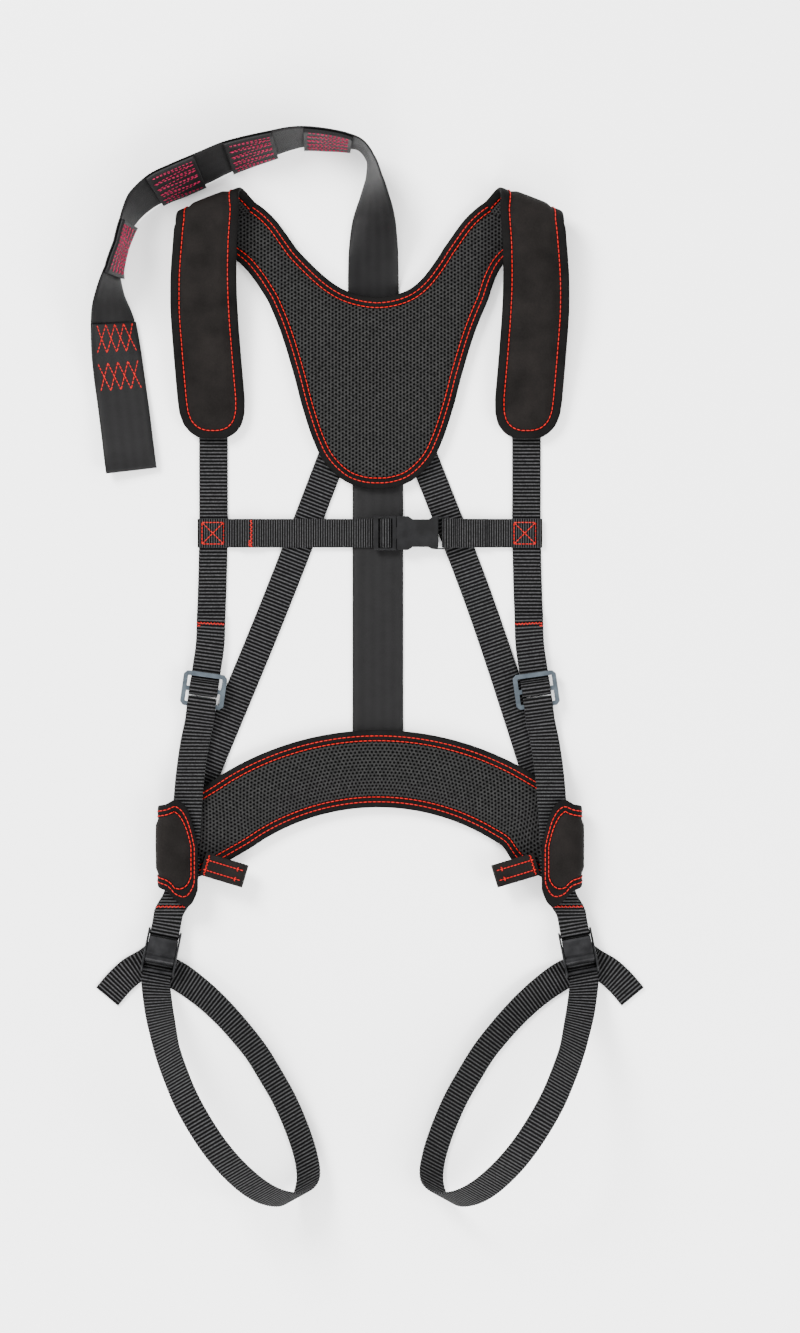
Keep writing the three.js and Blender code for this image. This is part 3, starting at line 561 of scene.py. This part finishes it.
def evenly(points, spacing):
    """The same line with its points evenly spaced."""
    points = np.asarray(points, float)
    measured = np.concatenate([[0], np.cumsum(np.linalg.norm(np.diff(points, axis=0), axis=1))])
    places = np.linspace(0, measured[-1], max(int(round(measured[-1] / spacing)), 2) + 1)
    return look_up(places, measured, points)


class Panel:
    """A panel drawn flat as chains of edge points, counterclockwise.

    Only the bound chains are quilted down.
    """

    def __init__(self, name, chains, put, border, seed, spacing=2.0, full=4.15, thin=1.5):
        self.name, self.put, self.border, self.seed = name, put, border, seed
        self.full, self.thin = full, thin
        self.chains = [(evenly(points, spacing), bound) for points, bound in chains]
        outline = np.vstack([points[:-1] for points, _ in self.chains])
        edges = [(points[:-1], points[1:]) for points, bound in self.chains if bound]
        self.a, self.b = np.vstack([a for a, _ in edges]), np.vstack([b for _, b in edges])
        low, high = outline.min(axis=0), outline.max(axis=0)
        rows = np.arange(low[1], high[1], spacing * 0.866)
        columns = np.arange(low[0], high[0], spacing)
        shift = (np.arange(len(rows)) % 2)[:, None] * spacing / 2
        rising = np.broadcast_to(rows[:, None], (len(rows), len(columns)))
        grid = np.stack([columns[None, :] + shift, rising], -1).reshape(-1, 2)
        grid = grid[inside(grid, outline)]
        grid = grid[distance_to(grid, outline, np.roll(outline, -1, axis=0)) > 0.6 * spacing]
        points = [Vector(p) for p in np.vstack([outline, grid]).tolist()]
        found = delaunay_2d_cdt(points, [], [list(range(len(outline)))], 1, 1e-5)
        self.flat = np.array([tuple(p) for p in found[0]])
        self.faces = [tuple(face) for face in found[2]]
        self.depth = distance_to(self.flat, self.a, self.b)

    def thickness(self, depth):
        """Height of the face above the middle of the panel, at a depth inside the bound edge."""
        rise = np.clip((depth - self.border) / 7, 0, 1)
        crown = self.full - 0.5 * np.exp(-np.maximum(depth - self.border, 0) / 14)
        return self.thin + (crown - self.thin) * rise * rise * (3 - 2 * rise)

    def heights(self, side):
        loose = np.clip((self.depth - self.border) / 6, 0.15, 1)
        wave = rumple(self.flat[:, 0], self.flat[:, 1], self.seed + (side > 0))
        return side * (self.thickness(self.depth) - 0.35 * loose * (1 + wave) / 2)

    def body(self, part, side, paint):
        """One closed layer: the outer face on one side of the panel, and a flat face in its middle."""
        count = len(self.flat)
        outer, _ = self.put(self.flat[:, 0], self.flat[:, 1], self.heights(side))
        middle, _ = self.put(self.flat[:, 0], self.flat[:, 1], np.full(count, 0.08 * side))
        used = {}
        for face in self.faces:
            for a, b in zip(face, face[1:] + face[:1]):
                used[(a, b)] = True
        rim = [(a, b) for a, b in used if (b, a) not in used]
        faces = list(self.faces) + [tuple(k + count for k in reversed(face)) for face in self.faces]
        faces += [(b, a, a + count, b + count) for a, b in rim]
        if side < 0:
            faces = [tuple(reversed(face)) for face in faces]
        uv = np.vstack([self.flat, self.flat])
        return make_mesh(f"{self.name}_{part}", np.vstack([outer, middle]), faces, paint, uv)

    def inward(self, points):
        run = np.gradient(points, axis=0)
        run /= np.linalg.norm(run, axis=1)[:, None]
        return np.column_stack([-run[:, 1], run[:, 0]])

    def binding(self, paint, tape=0.5):
        """Edge tape folded over the bound edges."""
        verts, faces, uvs = [], [], []
        d = np.array([self.border, self.border * 0.6, self.border * 0.25, -0.2, -0.7])
        for points, bound in self.chains:
            if not bound:
                continue
            normal = self.inward(points)
            h = self.thickness(d) + tape * np.array((0.55, 1, 1.1, 0.2, -1.4))
            section = [*zip(d, h), *zip(d[::-1], -h[::-1])]
            inner = self.thin - 0.4
            section += [(d[0], -inner), (0.4, 0.2 - inner), (0.4, inner - 0.2), (d[0], inner)]
            section = np.array(section)
            flat = points[:, None, :] + normal[:, None, :] * section[None, :, :1]
            height = np.broadcast_to(section[None, :, 1], flat.shape[:2])
            placed, _ = self.put(flat[..., 0], flat[..., 1], height)
            start = sum(len(v) for v in verts)
            verts.append(placed.reshape(-1, 3))
            uvs.append(flat.reshape(-1, 2))
            faces += [tuple(start + k for k in face) for face in tube_faces(len(points), len(section))]
        return make_mesh(f"{self.name}_binding", np.vstack(verts), faces, paint, np.vstack(uvs))

    def seam(self, thread, inset, lift=0.62):
        """A row of stitches at a constant distance inside the bound edges, seen on both faces."""
        for points, bound in self.chains:
            if not bound:
                continue
            line = points + self.inward(points) * inset
            depth = np.full(len(line), inset)
            for side in (1, -1):
                height = side * (self.thickness(depth) + lift * (inset < self.border) + 0.1)
                placed, facing = self.put(line[:, 0], line[:, 1], height)
                thread.run(placed, facing * side)


# ---- The back ----

ARM = np.array((0.67, 0.742)) / math.hypot(0.67, 0.742)
ARM_ACROSS = np.array((ARM[1], -ARM[0]))
PAD_FOLD = np.array((131.7, 429.8))
PAD_WIDTH, ARM_LEAD = 58.0, 15.0
PAD_FOLD_RADIUS = 6 + PANEL / 2
# A pad starts with this share of its width and laps over the end of the yoke's arm
PAD_START_SHARE, PAD_OVERLAP = 0.9, 1.6


def mirrored(line):
    return [(-x, y) for x, y in line[::-1]]


def shifted(line):
    """The lower back lies a little to the right of the arms."""
    shift = BACK_SHIFT * (1 - np.interp(line[:, 1], (350, 395), (0, 1)))
    return np.column_stack([line[:, 0] + shift, line[:, 1]])


def yoke_chains():
    start = PAD_FOLD - ARM * (ARM_LEAD + GAP)
    half = PAD_WIDTH * PAD_START_SHARE / 2
    neck_corner, arm_corner = start - ARM_ACROSS * half, start + ARM_ACROSS * half
    neck = [(0, 351.9), (24, 356.5), (39.1, 365.5), (59.4, 387.1), (84, 420.5), (95.8, 431.6),
            tuple(neck_corner)]
    arm = [(0, 184), (14, 185.2), (29.8, 191.2), (46.8, 207.4), (56.2, 225.7), (66.5, 256.7), (73.4, 283.3),
           (86, 324), (99.1, 355), (107.8, 371.8), (116.8, 383.5), tuple(arm_corner)]
    neckline = shifted(spline(mirrored(neck)[:-1] + neck, 8))
    armholes = shifted(spline(mirrored(arm)[:-1] + arm, 8))
    ends = [[armholes[-1], neckline[-1]], [neckline[0], armholes[0]]]
    return [(armholes, True), (ends[0], False), (neckline[::-1], True), (ends[1], False)]


def put_yoke(x, y, height):
    x, y, height = np.broadcast_arrays(x, y, height)
    return np.stack([x, y, PANEL_Z - height], -1), np.broadcast_to((0.0, 0.0, -1.0), (*x.shape, 3))


def make_panel(panel, names, paints, insets):
    cover = panel.body("cover", 1, paints["nylon"])
    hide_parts(*names[:2])
    lining = panel.body("lining", -1, paints["mesh"])
    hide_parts(names[2])
    panel.binding(paints["binding"])
    thread = Thread(0.4)
    for inset in insets:
        panel.seam(thread, inset)
    thread.make(f"{panel.name}_seams", paints["red"])


def make_yoke(paints):
    panel = Panel("yoke", yoke_chains(), put_yoke, 9.6, 3)
    make_panel(panel, ("yoke_shell", "yoke_foam", "yoke_lining"), paints, (4.4, 8.6))


def strip_chains(strip, width, closed):
    """Edges of a strip drawn flat, with x across and v along. Its start is bound too where closed."""
    keep = evenly(np.column_stack([strip.v, strip.s]), 2.0)
    v, half = keep[:, 0], keep[:, 1] * width / 2
    right = np.column_stack([half, v])
    left = np.column_stack([-half, v])[::-1]
    if closed:
        loop = np.vstack([[[0, v[0]]], right, left, [[0, v[0]]]])
        return [(loop, True)]
    return [(np.vstack([right, left]), True), ([left[-1], right[0]], False)]


def put_on(strip, flip=1):
    def put(x, v, height):
        placed, face = strip.place(x, v, np.asarray(height) * flip)
        return placed, face * flip
    return put


def shoulder_fold(steps=14):
    arm, front = np.array((*ARM, 0.0)), np.array((0.0, -1.0, 0.0))
    fold = (arm + front) / np.linalg.norm(arm + front)
    square = arm - fold * (arm @ fold)
    square /= np.linalg.norm(square)
    slant, forward = arm @ fold, arm @ square
    radius = PAD_FOLD_RADIUS
    start = np.array((*PAD_FOLD, PANEL_Z))
    stations = [(start - arm * (ARM_LEAD + PAD_OVERLAP), np.array((*ARM_ACROSS, 0.0)), PAD_START_SHARE)]
    for i in range(steps + 1):
        angle = math.pi * i / steps
        p = start + square * radius * math.sin(angle) + UP * radius * (1 - math.cos(angle))
        share = PAD_START_SHARE + 0.04 * angle / math.pi
        stations.append((p + fold * radius * angle * slant / forward, fold, share))
    return stations


def pad_route():
    fold = shoulder_fold()
    drop = fold[-1][0][2] - PANEL_Z
    # Each is y, share of the fold's height, x and share of the width
    down = [(400, 0.93, 145.2, 0.95), (370, 0.78, 146.6, 0.98), (340, 0.6, 146.2, 1), (310, 0.4, 144.2, 1),
            (280, 0.2, 141.8, 1), (262, 0.1, 140.3, 1), (250, 0.04, 139.6, 0.97), (240, 0.01, 139, 0.86),
            (233, 0, 138.7, 0.66), (229, 0, 138.6, 0.42), (227.5, 0, 138.5, 0.2)]
    return fold + [at(x, y, PANEL_Z + drop * share, s=s) for y, share, x, s in down]


def make_pads(paints):
    for side, end in SIDES:
        strip = Strip(on_side(side, pad_route()), 1.0, 8)
        chains = strip_chains(strip, PAD_WIDTH, False)
        panel = Panel(f"shoulder_pad_{end}", chains, put_on(strip), 7.8, 11 + side)
        names = [f"shoulder_pad_{layer}_{end}" for layer in ("shell", "foam", "lining")]
        make_panel(panel, names, paints, (7.2,))


BELT_WIDTH, HIP_FOLD_X = 67.0, 178.2
BELT_FOLD = 3 + PANEL / 2
HIP_TOP = PANEL_Z + 2 * BELT_FOLD


def hip_end():
    approach = [at(151, -121, PANEL_Z, 0.45, 0.89), at(163, -127.5, PANEL_Z, 0.25, 0.97),
                at(172, -130.5, PANEL_Z, 0, 1)]
    turn = []
    for i, (x, z) in enumerate(bend(HIP_FOLD_X, PANEL_Z + BELT_FOLD, BELT_FOLD, -90, 90, 8)):
        turn.append(at(x, -131.5 - 2 * i / 8, z, 0, 1, 0, 0.96 + 0.02 * i))
    tip = [(173, -135, 1.2), (168, -137.5, 1.14), (163, -141, 1.02), (158, -145.5, 0.8), (154, -149.5, 0.55),
           (151.5, -152, 0.35)]
    return approach + turn + [at(x, y, HIP_TOP, 0, 1, 0, s) for x, y, s in tip]


def belt_route():
    hip = hip_end()
    left = [(p, -w, s) for p, w, s in on_side(-1, hip)[::-1]]
    arc = []
    for angle in np.radians(np.linspace(-35, 35, 17)):
        x, y = math.sin(angle), math.cos(angle)
        arc.append(at(BACK_SHIFT + 228 * x, -64.3 - 228 * (1 - y), PANEL_Z, x, y))
    return left + arc + hip


def make_belt(paints):
    strip = Strip(belt_route(), 1.0, 8)
    panel = Panel("belt", strip_chains(strip, BELT_WIDTH, True), put_on(strip, -1), 9.6, 29)
    make_panel(panel, ("belt_shell", "belt_foam", "belt_lining"), paints, (4.4, 8.6))


def make_strap(name, stations, paints, width=WEB_WIDTH, paint="webbing"):
    pitch = FINE_RIB if paint == "fine" else RIB
    strip = Strip(stations, pitch / 6)
    strap = make_webbing(name, strip, width, WEB, paints[paint], pitch=pitch)
    return strip, strap


def make_back_straps(paints):
    z = WIDE / 2
    strip = Strip([at(BACK_SHIFT, 220, z), at(BACK_SHIFT, -56, z)], 1.2)
    dorsal = make_webbing("back_webbing", strip, WIDE_WIDTH, WIDE, paints["tether"], 0.0)
    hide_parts("dorsal_webbing")
    for side, end in SIDES:
        places = [(38.3 * side + BACK_SHIFT, 216.8), (91 * side + BACK_SHIFT, 80.5), (152 * side, -84)]
        run = np.array((*places[2], 0)) - np.array((*places[0], 0))
        across = -np.cross(run / np.linalg.norm(run), UP)
        _, strap = make_strap(f"back_webbing_{end}", [at(x, y, WEB / 2, *across) for x, y in places], paints)
        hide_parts(f"back_strap_{end}")


# ---- Front straps ----

LOW, SECOND, THIRD, FOURTH = (WEB / 2 + layer * (WEB + GAP) for layer in range(4))
SLIDER_Z = THIRD + WEB / 2 + 0.75 * GAP
OVER_BAR = SLIDER_Z + 3 + 1.75 * GAP + WEB / 2
FRAME_END = 15.5
SLIDER_CENTRE, SLIDER_TILT = (147, 5.3), 8
FRONT_X, CHEST_Y = 138.5, 144
MOUTH_X, SOCKET_LENGTH = 23.9, 36
LADDER_LENGTH, BAR, PLUG_TOP = 20.5, 3.6, 9.0


def upper_strap():
    radius = (OVER_BAR - SECOND) / 2
    profile = [(-40, SECOND - 0.3), (-20, SECOND), (-8, SECOND), *bend(0.4, SECOND + radius, radius, -90, 90),
               (-2, OVER_BAR), (-4.2, OVER_BAR - 1.1), (-6.2, (OVER_BAR + THIRD) / 2), (-8, THIRD + 0.4),
               (-9.6, THIRD - 0.1), (-20, THIRD), (-40, THIRD - 0.3)]
    local = upright(SLIDER_CENTRE, downwards(SLIDER_TILT), profile)
    above = [at(FRONT_X, y, LOW) for y in (249.5, 227.5, 185, CHEST_Y)]
    above += [at(139.6, 95, LOW), at(140.4, 73, LOW + 0.4)]
    return [*above, *local, at(140.4, 73, SECOND + 0.4)]


def lower_strap():
    bar = FRAME_END - 2
    radius = (OVER_BAR - THIRD) / 2
    profile = [(FRAME_END + 12, FOURTH - 0.6), (FRAME_END + 7, FOURTH + 1.2), (FRAME_END + 3, OVER_BAR - 0.7),
               *bend(bar - 3.8, THIRD + radius, radius, 90, 270),
               (FRAME_END + 3, THIRD), (FRAME_END + 12, SECOND + 0.6)]
    local = upright(SLIDER_CENTRE, downwards(SLIDER_TILT), profile)
    fold, step = PANEL_Z + BELT_FOLD, (WEB + GAP) / 2
    run = [(163, -128), (162, -112), (160.6, -92), (159, -73)]
    top = [at(x, y, fold + step) for x, y in run] + [at(157.2, -57, THIRD + 4), at(155, -42, THIRD + 0.4)]
    under = [at(155, -42, SECOND), at(157.2, -57, SECOND + 3.8)]
    under += [at(x, y, fold - step) for x, y in run[::-1]]
    return [*top, *local, *under]


def chest_left():
    over = PLUG_TOP + GAP + WEB / 2
    ladder = MOUTH_X - LADDER_LENGTH
    bar, outer = ladder + 3 * BAR + 1.2, ladder + BAR
    radius = (over - SECOND) / 2
    profile = [(-118, THIRD), (-103, THIRD), (-98, THIRD - 0.6), (-93, SECOND + 0.3), (-87, SECOND),
               (-50, SECOND), (outer - 3, SECOND), (outer + 0.9, SECOND + 0.2),
               (outer + 2.5, (SECOND + over) / 2 - 0.8), (outer + 3.8, over - 0.9), (outer + 5.4, over),
               *bend(bar - 0.7, SECOND + radius, radius, 90, -90), (bar - 2, SECOND)]
    return upright((0, CHEST_Y), (1, 0, 0), profile)


def chest_right():
    bar = MOUTH_X + SOCKET_LENGTH + 3 + 1.5 * BAR
    radius, middle = 3.6, 6.8
    profile = [(103, THIRD), (86, THIRD), (bar + 9, THIRD + 0.6), (bar + 4, middle + radius - 0.8),
               *bend(bar - 0.2, middle, radius, 90, 270), (bar + 6, SECOND), (110, SECOND),
               (FRONT_X + 14, SECOND)]
    return upright((0, CHEST_Y), (1, 0, 0), profile)


def zigzag(x0, x1, v, depth, count):
    return [(x0 + (x1 - x0) * i / count, v + depth * (-1) ** i) for i in range(count + 1)]


def box_x(x, v):
    low, high = v - x, v + x
    return [(-x, low), (x, low), (x, high), (-x, high), (-x, low), (x, high), (-x, high), (x, low)]


def sew(name, paints, rows):
    """Rows of stitches on strips: each is (strip, corners, height above the middle)."""
    stitches = Thread(0.42)
    for strip, corners, height in rows:
        stitches.on(strip, corners, height, length=2.6, gap=0.6)
    made = stitches.make(name, paints["red"])
    return made


def make_front(paints):
    face = WEB / 2 + 0.12
    for side, end in SIDES:
        strip, upper = make_strap(f"front_webbing_upper_{end}", on_side(side, upper_strap()), paints)
        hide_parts(f"front_strap_upper_{end}")
        bar = zigzag(-12, 12, strip.length - 9, 0.9, 16)
        knot = zigzag(9.5 * side, 12 * side, strip.length - 11.5, 0.8, 4)
        tack = sew(f"front_bartack_{end}", paints, [(strip, bar, -face), (strip, knot, -face)])
        strip, lower = make_strap(f"front_webbing_lower_{end}", on_side(side, lower_strap()), paints)
        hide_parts(f"front_strap_lower_{end}")
        for piece in (upper, tack):
            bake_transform(piece, "vest", f"slider_{end}", (0.1395 * side, 0.13, 0), (0.1395 * side, 0.062, 0))
        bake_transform(lower, "vest", f"slider_{end}", (0.16 * side, -0.085, 0), (0.152 * side, -0.02, 0))


def make_chest(paints):
    face = WEB / 2 + 0.12
    stations = upright((0, CHEST_Y), (1, 0, 0), [(-FRONT_X - 14, SECOND), (-106, SECOND)])
    tab, left_tab = make_strap("chest_webbing_tab", stations, paints, paint="fine")
    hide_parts("chest_tab_left")
    left, left_strap = make_strap("chest_webbing_left", chest_left(), paints, paint="fine")
    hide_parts("chest_strap_left")
    right, right_strap = make_strap("chest_webbing_right", chest_right(), paints, paint="fine")
    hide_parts("chest_strap_right")
    sew("chest_box_left", paints, [(tab, box_x(9.5, 13.5), face)])
    sew("chest_box_right", paints, [(right, box_x(9.5, right.length - 15.5), face)])
    bar = zigzag(-12, 12, 13, 1.0, 14)
    knot = zigzag(-11.5, -6, 11.4, 1.0, 5)
    tack = sew("chest_bartack", paints, [(left, bar, face), (left, knot, face)])
    for piece in (left_strap, tack):
        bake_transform(piece, "vest", "chest_plug", (-0.09, 0.144, 0), (-0.012, 0.144, 0))


# ---- Hip pieces and leg straps ----

CAM_CENTRE, CAM_TILT, CAM_HALF = (184.5, -226.5), 11, 20
BASE_Z, CAM_PLATE = 2.85, 1.4
THROUGH_Z = BASE_Z + CAM_PLATE + 0.5 + WEB / 2


def gear_loop():
    direction = np.array((-0.96, -0.29, 0)) / math.hypot(0.96, 0.29)
    middle, opening = PANEL_Z + PANEL / 2 + 3 + 1.8, 4
    profile = [(0, middle + 1.3), (8, middle + opening), (30, middle + opening),
               *bend(34, middle, opening, 90, -90),
               (30, middle - opening + 0.4), (8, middle - opening + 0.9), (0, middle - 1.3)]
    return upright((147, -148), direction, profile)


def leg_tab():
    inner = PANEL_Z + BELT_FOLD
    bar, bar_z = -16.5, 8
    radius = 1.8 + GAP + WEB / 2
    over = bar_z + radius
    profile = [(bar - 8, over + 0.3), *bend(bar, bar_z, radius, 90, -90), (bar - 5, bar_z - radius + 0.6),
               (bar - 11, over - 3.4), (bar - 18, over - 2.6)]
    local = upright(CAM_CENTRE, downwards(CAM_TILT), profile)
    start = [at(162.5, -142, inner), at(164, -158, inner), at(169.5, -176, inner - 0.2),
             at(177.5, -192, over + 1.4)]
    return start + local


def leg_webbing():
    radius = (THROUGH_Z - WEB / 2) / 2
    profile = [(-2, WEB / 2), *bend(-9, WEB / 2 + radius, radius, 270, 90), (0, THROUGH_Z),
               (CAM_HALF, THROUGH_Z), (CAM_HALF + 5, THROUGH_Z + 1.5)]
    local = upright(CAM_CENTRE, downwards(CAM_TILT), profile)
    # Each knot is x, y, height and the direction of the webbing's width
    tail = [(232.6, -266, 0, 0.77, 0.64), (222, -253.5, 0.3, 0.72, 0.7), (211, -243.5, 0.3, 0.6, 0.8),
            (199, -236.5, 0, 0.45, 0.89), (190, -230, 0, 0.75, 0.66)]
    near = [(186.5, -272.6, 22, 1, -0.1, -0.1), (182, -292, 40, 0.9, -0.3, -0.25),
            (176.5, -312, 57, 0.8, -0.5, -0.35), (168.5, -332, 73, 0.8, -0.5, -0.4),
            (159.5, -351.3, 85, 0.8, -0.5, -0.4), (148, -371.3, 91, 0.8, -0.5, -0.4),
            (135, -391, 91, 0.8, -0.5, -0.4), (119.5, -410.6, 82, 0.8, -0.5, -0.38),
            (99, -430.6, 62, 0.82, -0.5, -0.35)]
    bottom = [(82, -440.5, 43, 0.85, -0.5, -0.34), (67, -442.5, 26, 0.85, -0.5, -0.34),
              (57.5, -436, 14, 0.85, -0.5, -0.4), (54.5, -424, 9.5, 0.85, -0.5, -0.5)]
    far = [(56, -410, 8.2, 0.85, -0.5, -0.6), (60, -395, 8, 0.83, -0.55, -0.62),
           (67, -376, 8, 0.83, -0.55, -0.62), (76.5, -355, 8, 0.83, -0.55, -0.62),
           (88.5, -334, 8, 0.83, -0.58, -0.6), (101, -314, 8, 0.8, -0.6, -0.6),
           (113.7, -298, 7.6, 0.75, -0.65, -0.55), (126, -284, 7, 0.7, -0.7, -0.5),
           (141.2, -269, 6, 0.6, -0.8, -0.4), (156, -257, 4, 0.55, -0.83, -0.25),
           (168, -248.8, 2, 0.5, -0.86, -0.05), (178.5, -243.2, 1.15, 0.5, -0.86, 0)]
    tail = [at(x, y, LOW + lift, wx, wy) for x, y, lift, wx, wy in tail]
    return tail + local + [at(*knot) for knot in near + bottom + far]


def make_hips(paints):
    face = WEB / 2 + 0.12
    for side, end in SIDES:
        stations = on_side(side, gear_loop())
        strip, loop = make_strap(f"gear_webbing_{end}", stations, paints, WEB_WIDTH * 0.8, "nylon")
        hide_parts(f"gear_loop_{end}")
        rows = [(strip, [(x, 2), (x, 36)], face) for x in (-4.5, 4.5)]
        rows += [(strip, zigzag(x - 1.8, x + 1.8, 31, 0.7, 5), face) for x in (-4.5, 4.5)]
        rows.append((strip, zigzag(-9, 9, 4, 0.9, 12), face))
        stitches = sew(f"gear_stitches_{end}", paints, rows)
        for piece in (loop, stitches):
            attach(piece, f"gear_loop_{end}")
        strip, tab = make_strap(f"leg_tab_webbing_{end}", on_side(side, leg_tab()), paints)
        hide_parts(f"leg_tab_{end}")
        tack = sew(f"leg_tab_bartack_{end}", paints, [(strip, zigzag(-12, 12, 46, 1.0, 16), face)])
        for piece in (tab, tack):
            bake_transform(piece, "vest", f"leg_{end}", (0.167 * side, -0.168, 0.012), (0.18 * side, -0.205, 0.012))
        strip, leg = make_strap(f"leg_loop_webbing_{end}", on_side(side, leg_webbing()), paints)
        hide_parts(f"leg_webbing_{end}")
        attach(leg, f"leg_{end}")


# ---- Tether ----

def tilted(x, y, lift, dx, dy, tilt):
    right = np.array((dy, -dx, 0)) / math.hypot(dx, dy)
    c, s = math.cos(math.radians(tilt)), math.sin(math.radians(tilt))
    z = lift + WIDE_WIDTH / 2 * s + WIDE / 2 * c
    return at(x, y, z, right[0] * c, right[1] * c, s)


# Each station is x, y, height of the lower edge, the direction it runs in and its tilt in degrees
TETHER = [
    (3, 330, 0, 0, 1, 0), (3, 362, 0, 0, 1, 0), (3, 390, 1.6, 0, 1, 12), (3.4, 418, 1.4, 0, 1, 32),
    (4, 440, 0.4, 0, 1, 55), (3.5, 458, 0.3, 0, 1, 72), (0.5, 474, 0.3, -0.4, 1, 82),
    (-8, 485.5, 0.3, -1, 0.7, 82), (-20, 489.5, 0.3, -1, 0.16, 78), (-38, 492, 0.3, -1, 0.1, 74),
    (-58, 493.2, 0.3, -1, 0, 72), (-70, 491.6, 0.3, -1, -0.15, 69), (-86, 487.5, 0.3, -1, -0.25, 66),
    (-106, 482, 0.3, -1, -0.28, 62), (-126, 475.5, 0.3, -1, -0.35, 58), (-146, 466.5, 0.3, -1, -0.42, 56),
    (-168, 457, 0.3, -1, -0.42, 55), (-188, 448, 0.4, -1, -0.6, 57), (-204, 435, 0.5, -0.8, -1, 64),
    (-214, 418, 0.4, -0.4, -1, 76), (-221, 398, 0.4, -0.35, -1, 80), (-227, 376, 0.6, -0.25, -1, 76),
    (-229, 354, 1.2, -0.05, -1, 58), (-227, 330, 0.8, 0.1, -1, 34), (-224, 300, 0.4, 0.1, -1, 16),
    (-221, 276, 0.3, 0.1, -1, 8), (-217.5, 252, 0.3, 0.12, -1, 6),
]
END_LOOP = [
    (-214.3, 226, 0.3, 0.12, -1, 6), (-212, 208, 0.4, 0.12, -1, 6), (-211.2, 202, 1.2, 0.12, -1, 6),
    (-210.9, 199.6, 3.2, 0.12, -1, 6), (-211.3, 202, 5.2, 0.12, -1, 6), (-212.6, 212, 6.2, 0.12, -1, 6),
    (-214.7, 230, 5.2, 0.12, -1, 6),
]
# The sewn end and the folded blocks, counted in stations of the tether
SEWN_FROM = 23
FOLDED = ((7.6, 10), (11.8, 14), (15.2, 17.2), (19, 21.3))


def make_tether(paints):
    out = [tilted(*station) for station in TETHER + END_LOOP]
    single = Strip(out, 1.2)
    knots = [int(np.argmin(np.linalg.norm(single.p - p, axis=1))) for p, _, _ in out[:len(TETHER)]]

    def reach(place):
        return np.interp(place, range(len(TETHER)), single.v[knots])

    sewn = np.arange(len(TETHER) - 2, SEWN_FROM - 0.01, -0.25)
    layer = WIDE + 1.5 * GAP
    back = []
    for place in sewn:
        p, _ = single.place(0, reach(place), -layer)
        back.append((p, look_up(reach(place), single.v, single.w), 1.0))
    strip = Strip(out + back, 1.2)
    tether = make_webbing("tether_strap", strip, WIDE_WIDTH, WIDE, paints["tether"], 0.0)
    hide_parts("tether_webbing")
    thread = Thread(0.34)
    top = -WIDE / 2 - 2 * GAP - 2 * WIDE
    for index, (start, stop) in enumerate(FOLDED):
        piece = single.part(reach(start), reach(stop))
        middle = top + WIDE
        piece.p = piece.p + piece.face * middle
        block = make_webbing(f"tether_block_{index + 1}", piece, WIDE_WIDTH, 2 * WIDE, paints["tether"], 0.0)
        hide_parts(f"tether_fold_{index + 1}")
        ends = (3.0, piece.length - 3)
        passes = [(x, ends[k % 2]) for k, x in enumerate(np.linspace(-19, 19, 10))]
        straight = [[(x, ends[0]), (x, ends[1])] for x in (-19, -9.5, 0, 9.5, 19)]
        for line in [passes, *straight]:
            thread.on(piece, line, -(WIDE + 0.1), length=2.4, gap=1.3)
    loop = Thread(0.45)
    half = 12.5
    for centre in (reach(23.45), reach(24.7)):
        for turn in (1, -1):
            wave = [(x, centre + turn * half * (-1) ** k) for k, x in enumerate(np.linspace(-18, 18, 5))]
            loop.on(single, wave, -(layer + WIDE / 2 + 0.1), length=2.8, gap=0.7)
    loop_sewing = loop.make("tether_loop_sewing", paints["red"])
    sewing = thread.make("tether_sewing", paints["magenta"])


# ---- Hardware: the frame's own pieces, with softened edges ----

# Start of a node's name, its paint and the width of its softened edges
HARD = (("slider_frame", "slider", 0.6), ("buckle", "gloss", 0.7), ("prong", "gloss", 0.4),
        ("cam_pin", "steel", 0.2), ("cam", "steel", 0.45))


def make_hardware(paints):
    for obj in [o for o in bpy.data.objects if o.type == "MESH" and not o.hide_render]:
        for start, paint, width in HARD:
            if obj.name.startswith(start):
                obj.data.materials.clear()
                obj.data.materials.append(paints[paint])
                weld = obj.modifiers.new("weld", "WELD")
                weld.merge_threshold = 0.00002
                bevel = obj.modifiers.new("bevel", "BEVEL")
                bevel.width = width * MM
                bevel.segments = 3
                bevel.limit_method = "ANGLE"
                bevel.angle_limit = math.radians(35)
                bevel.harden_normals = True
                break


make_stage()
PAINTS = make_paints()
make_tether(PAINTS)
make_yoke(PAINTS)
make_pads(PAINTS)
make_belt(PAINTS)
make_back_straps(PAINTS)
make_front(PAINTS)
make_chest(PAINTS)
make_hips(PAINTS)
make_hardware(PAINTS)
for piece in list(bpy.data.objects):
    if piece.type == "MESH" and not body_of(piece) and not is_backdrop(piece):
        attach(piece, "vest")
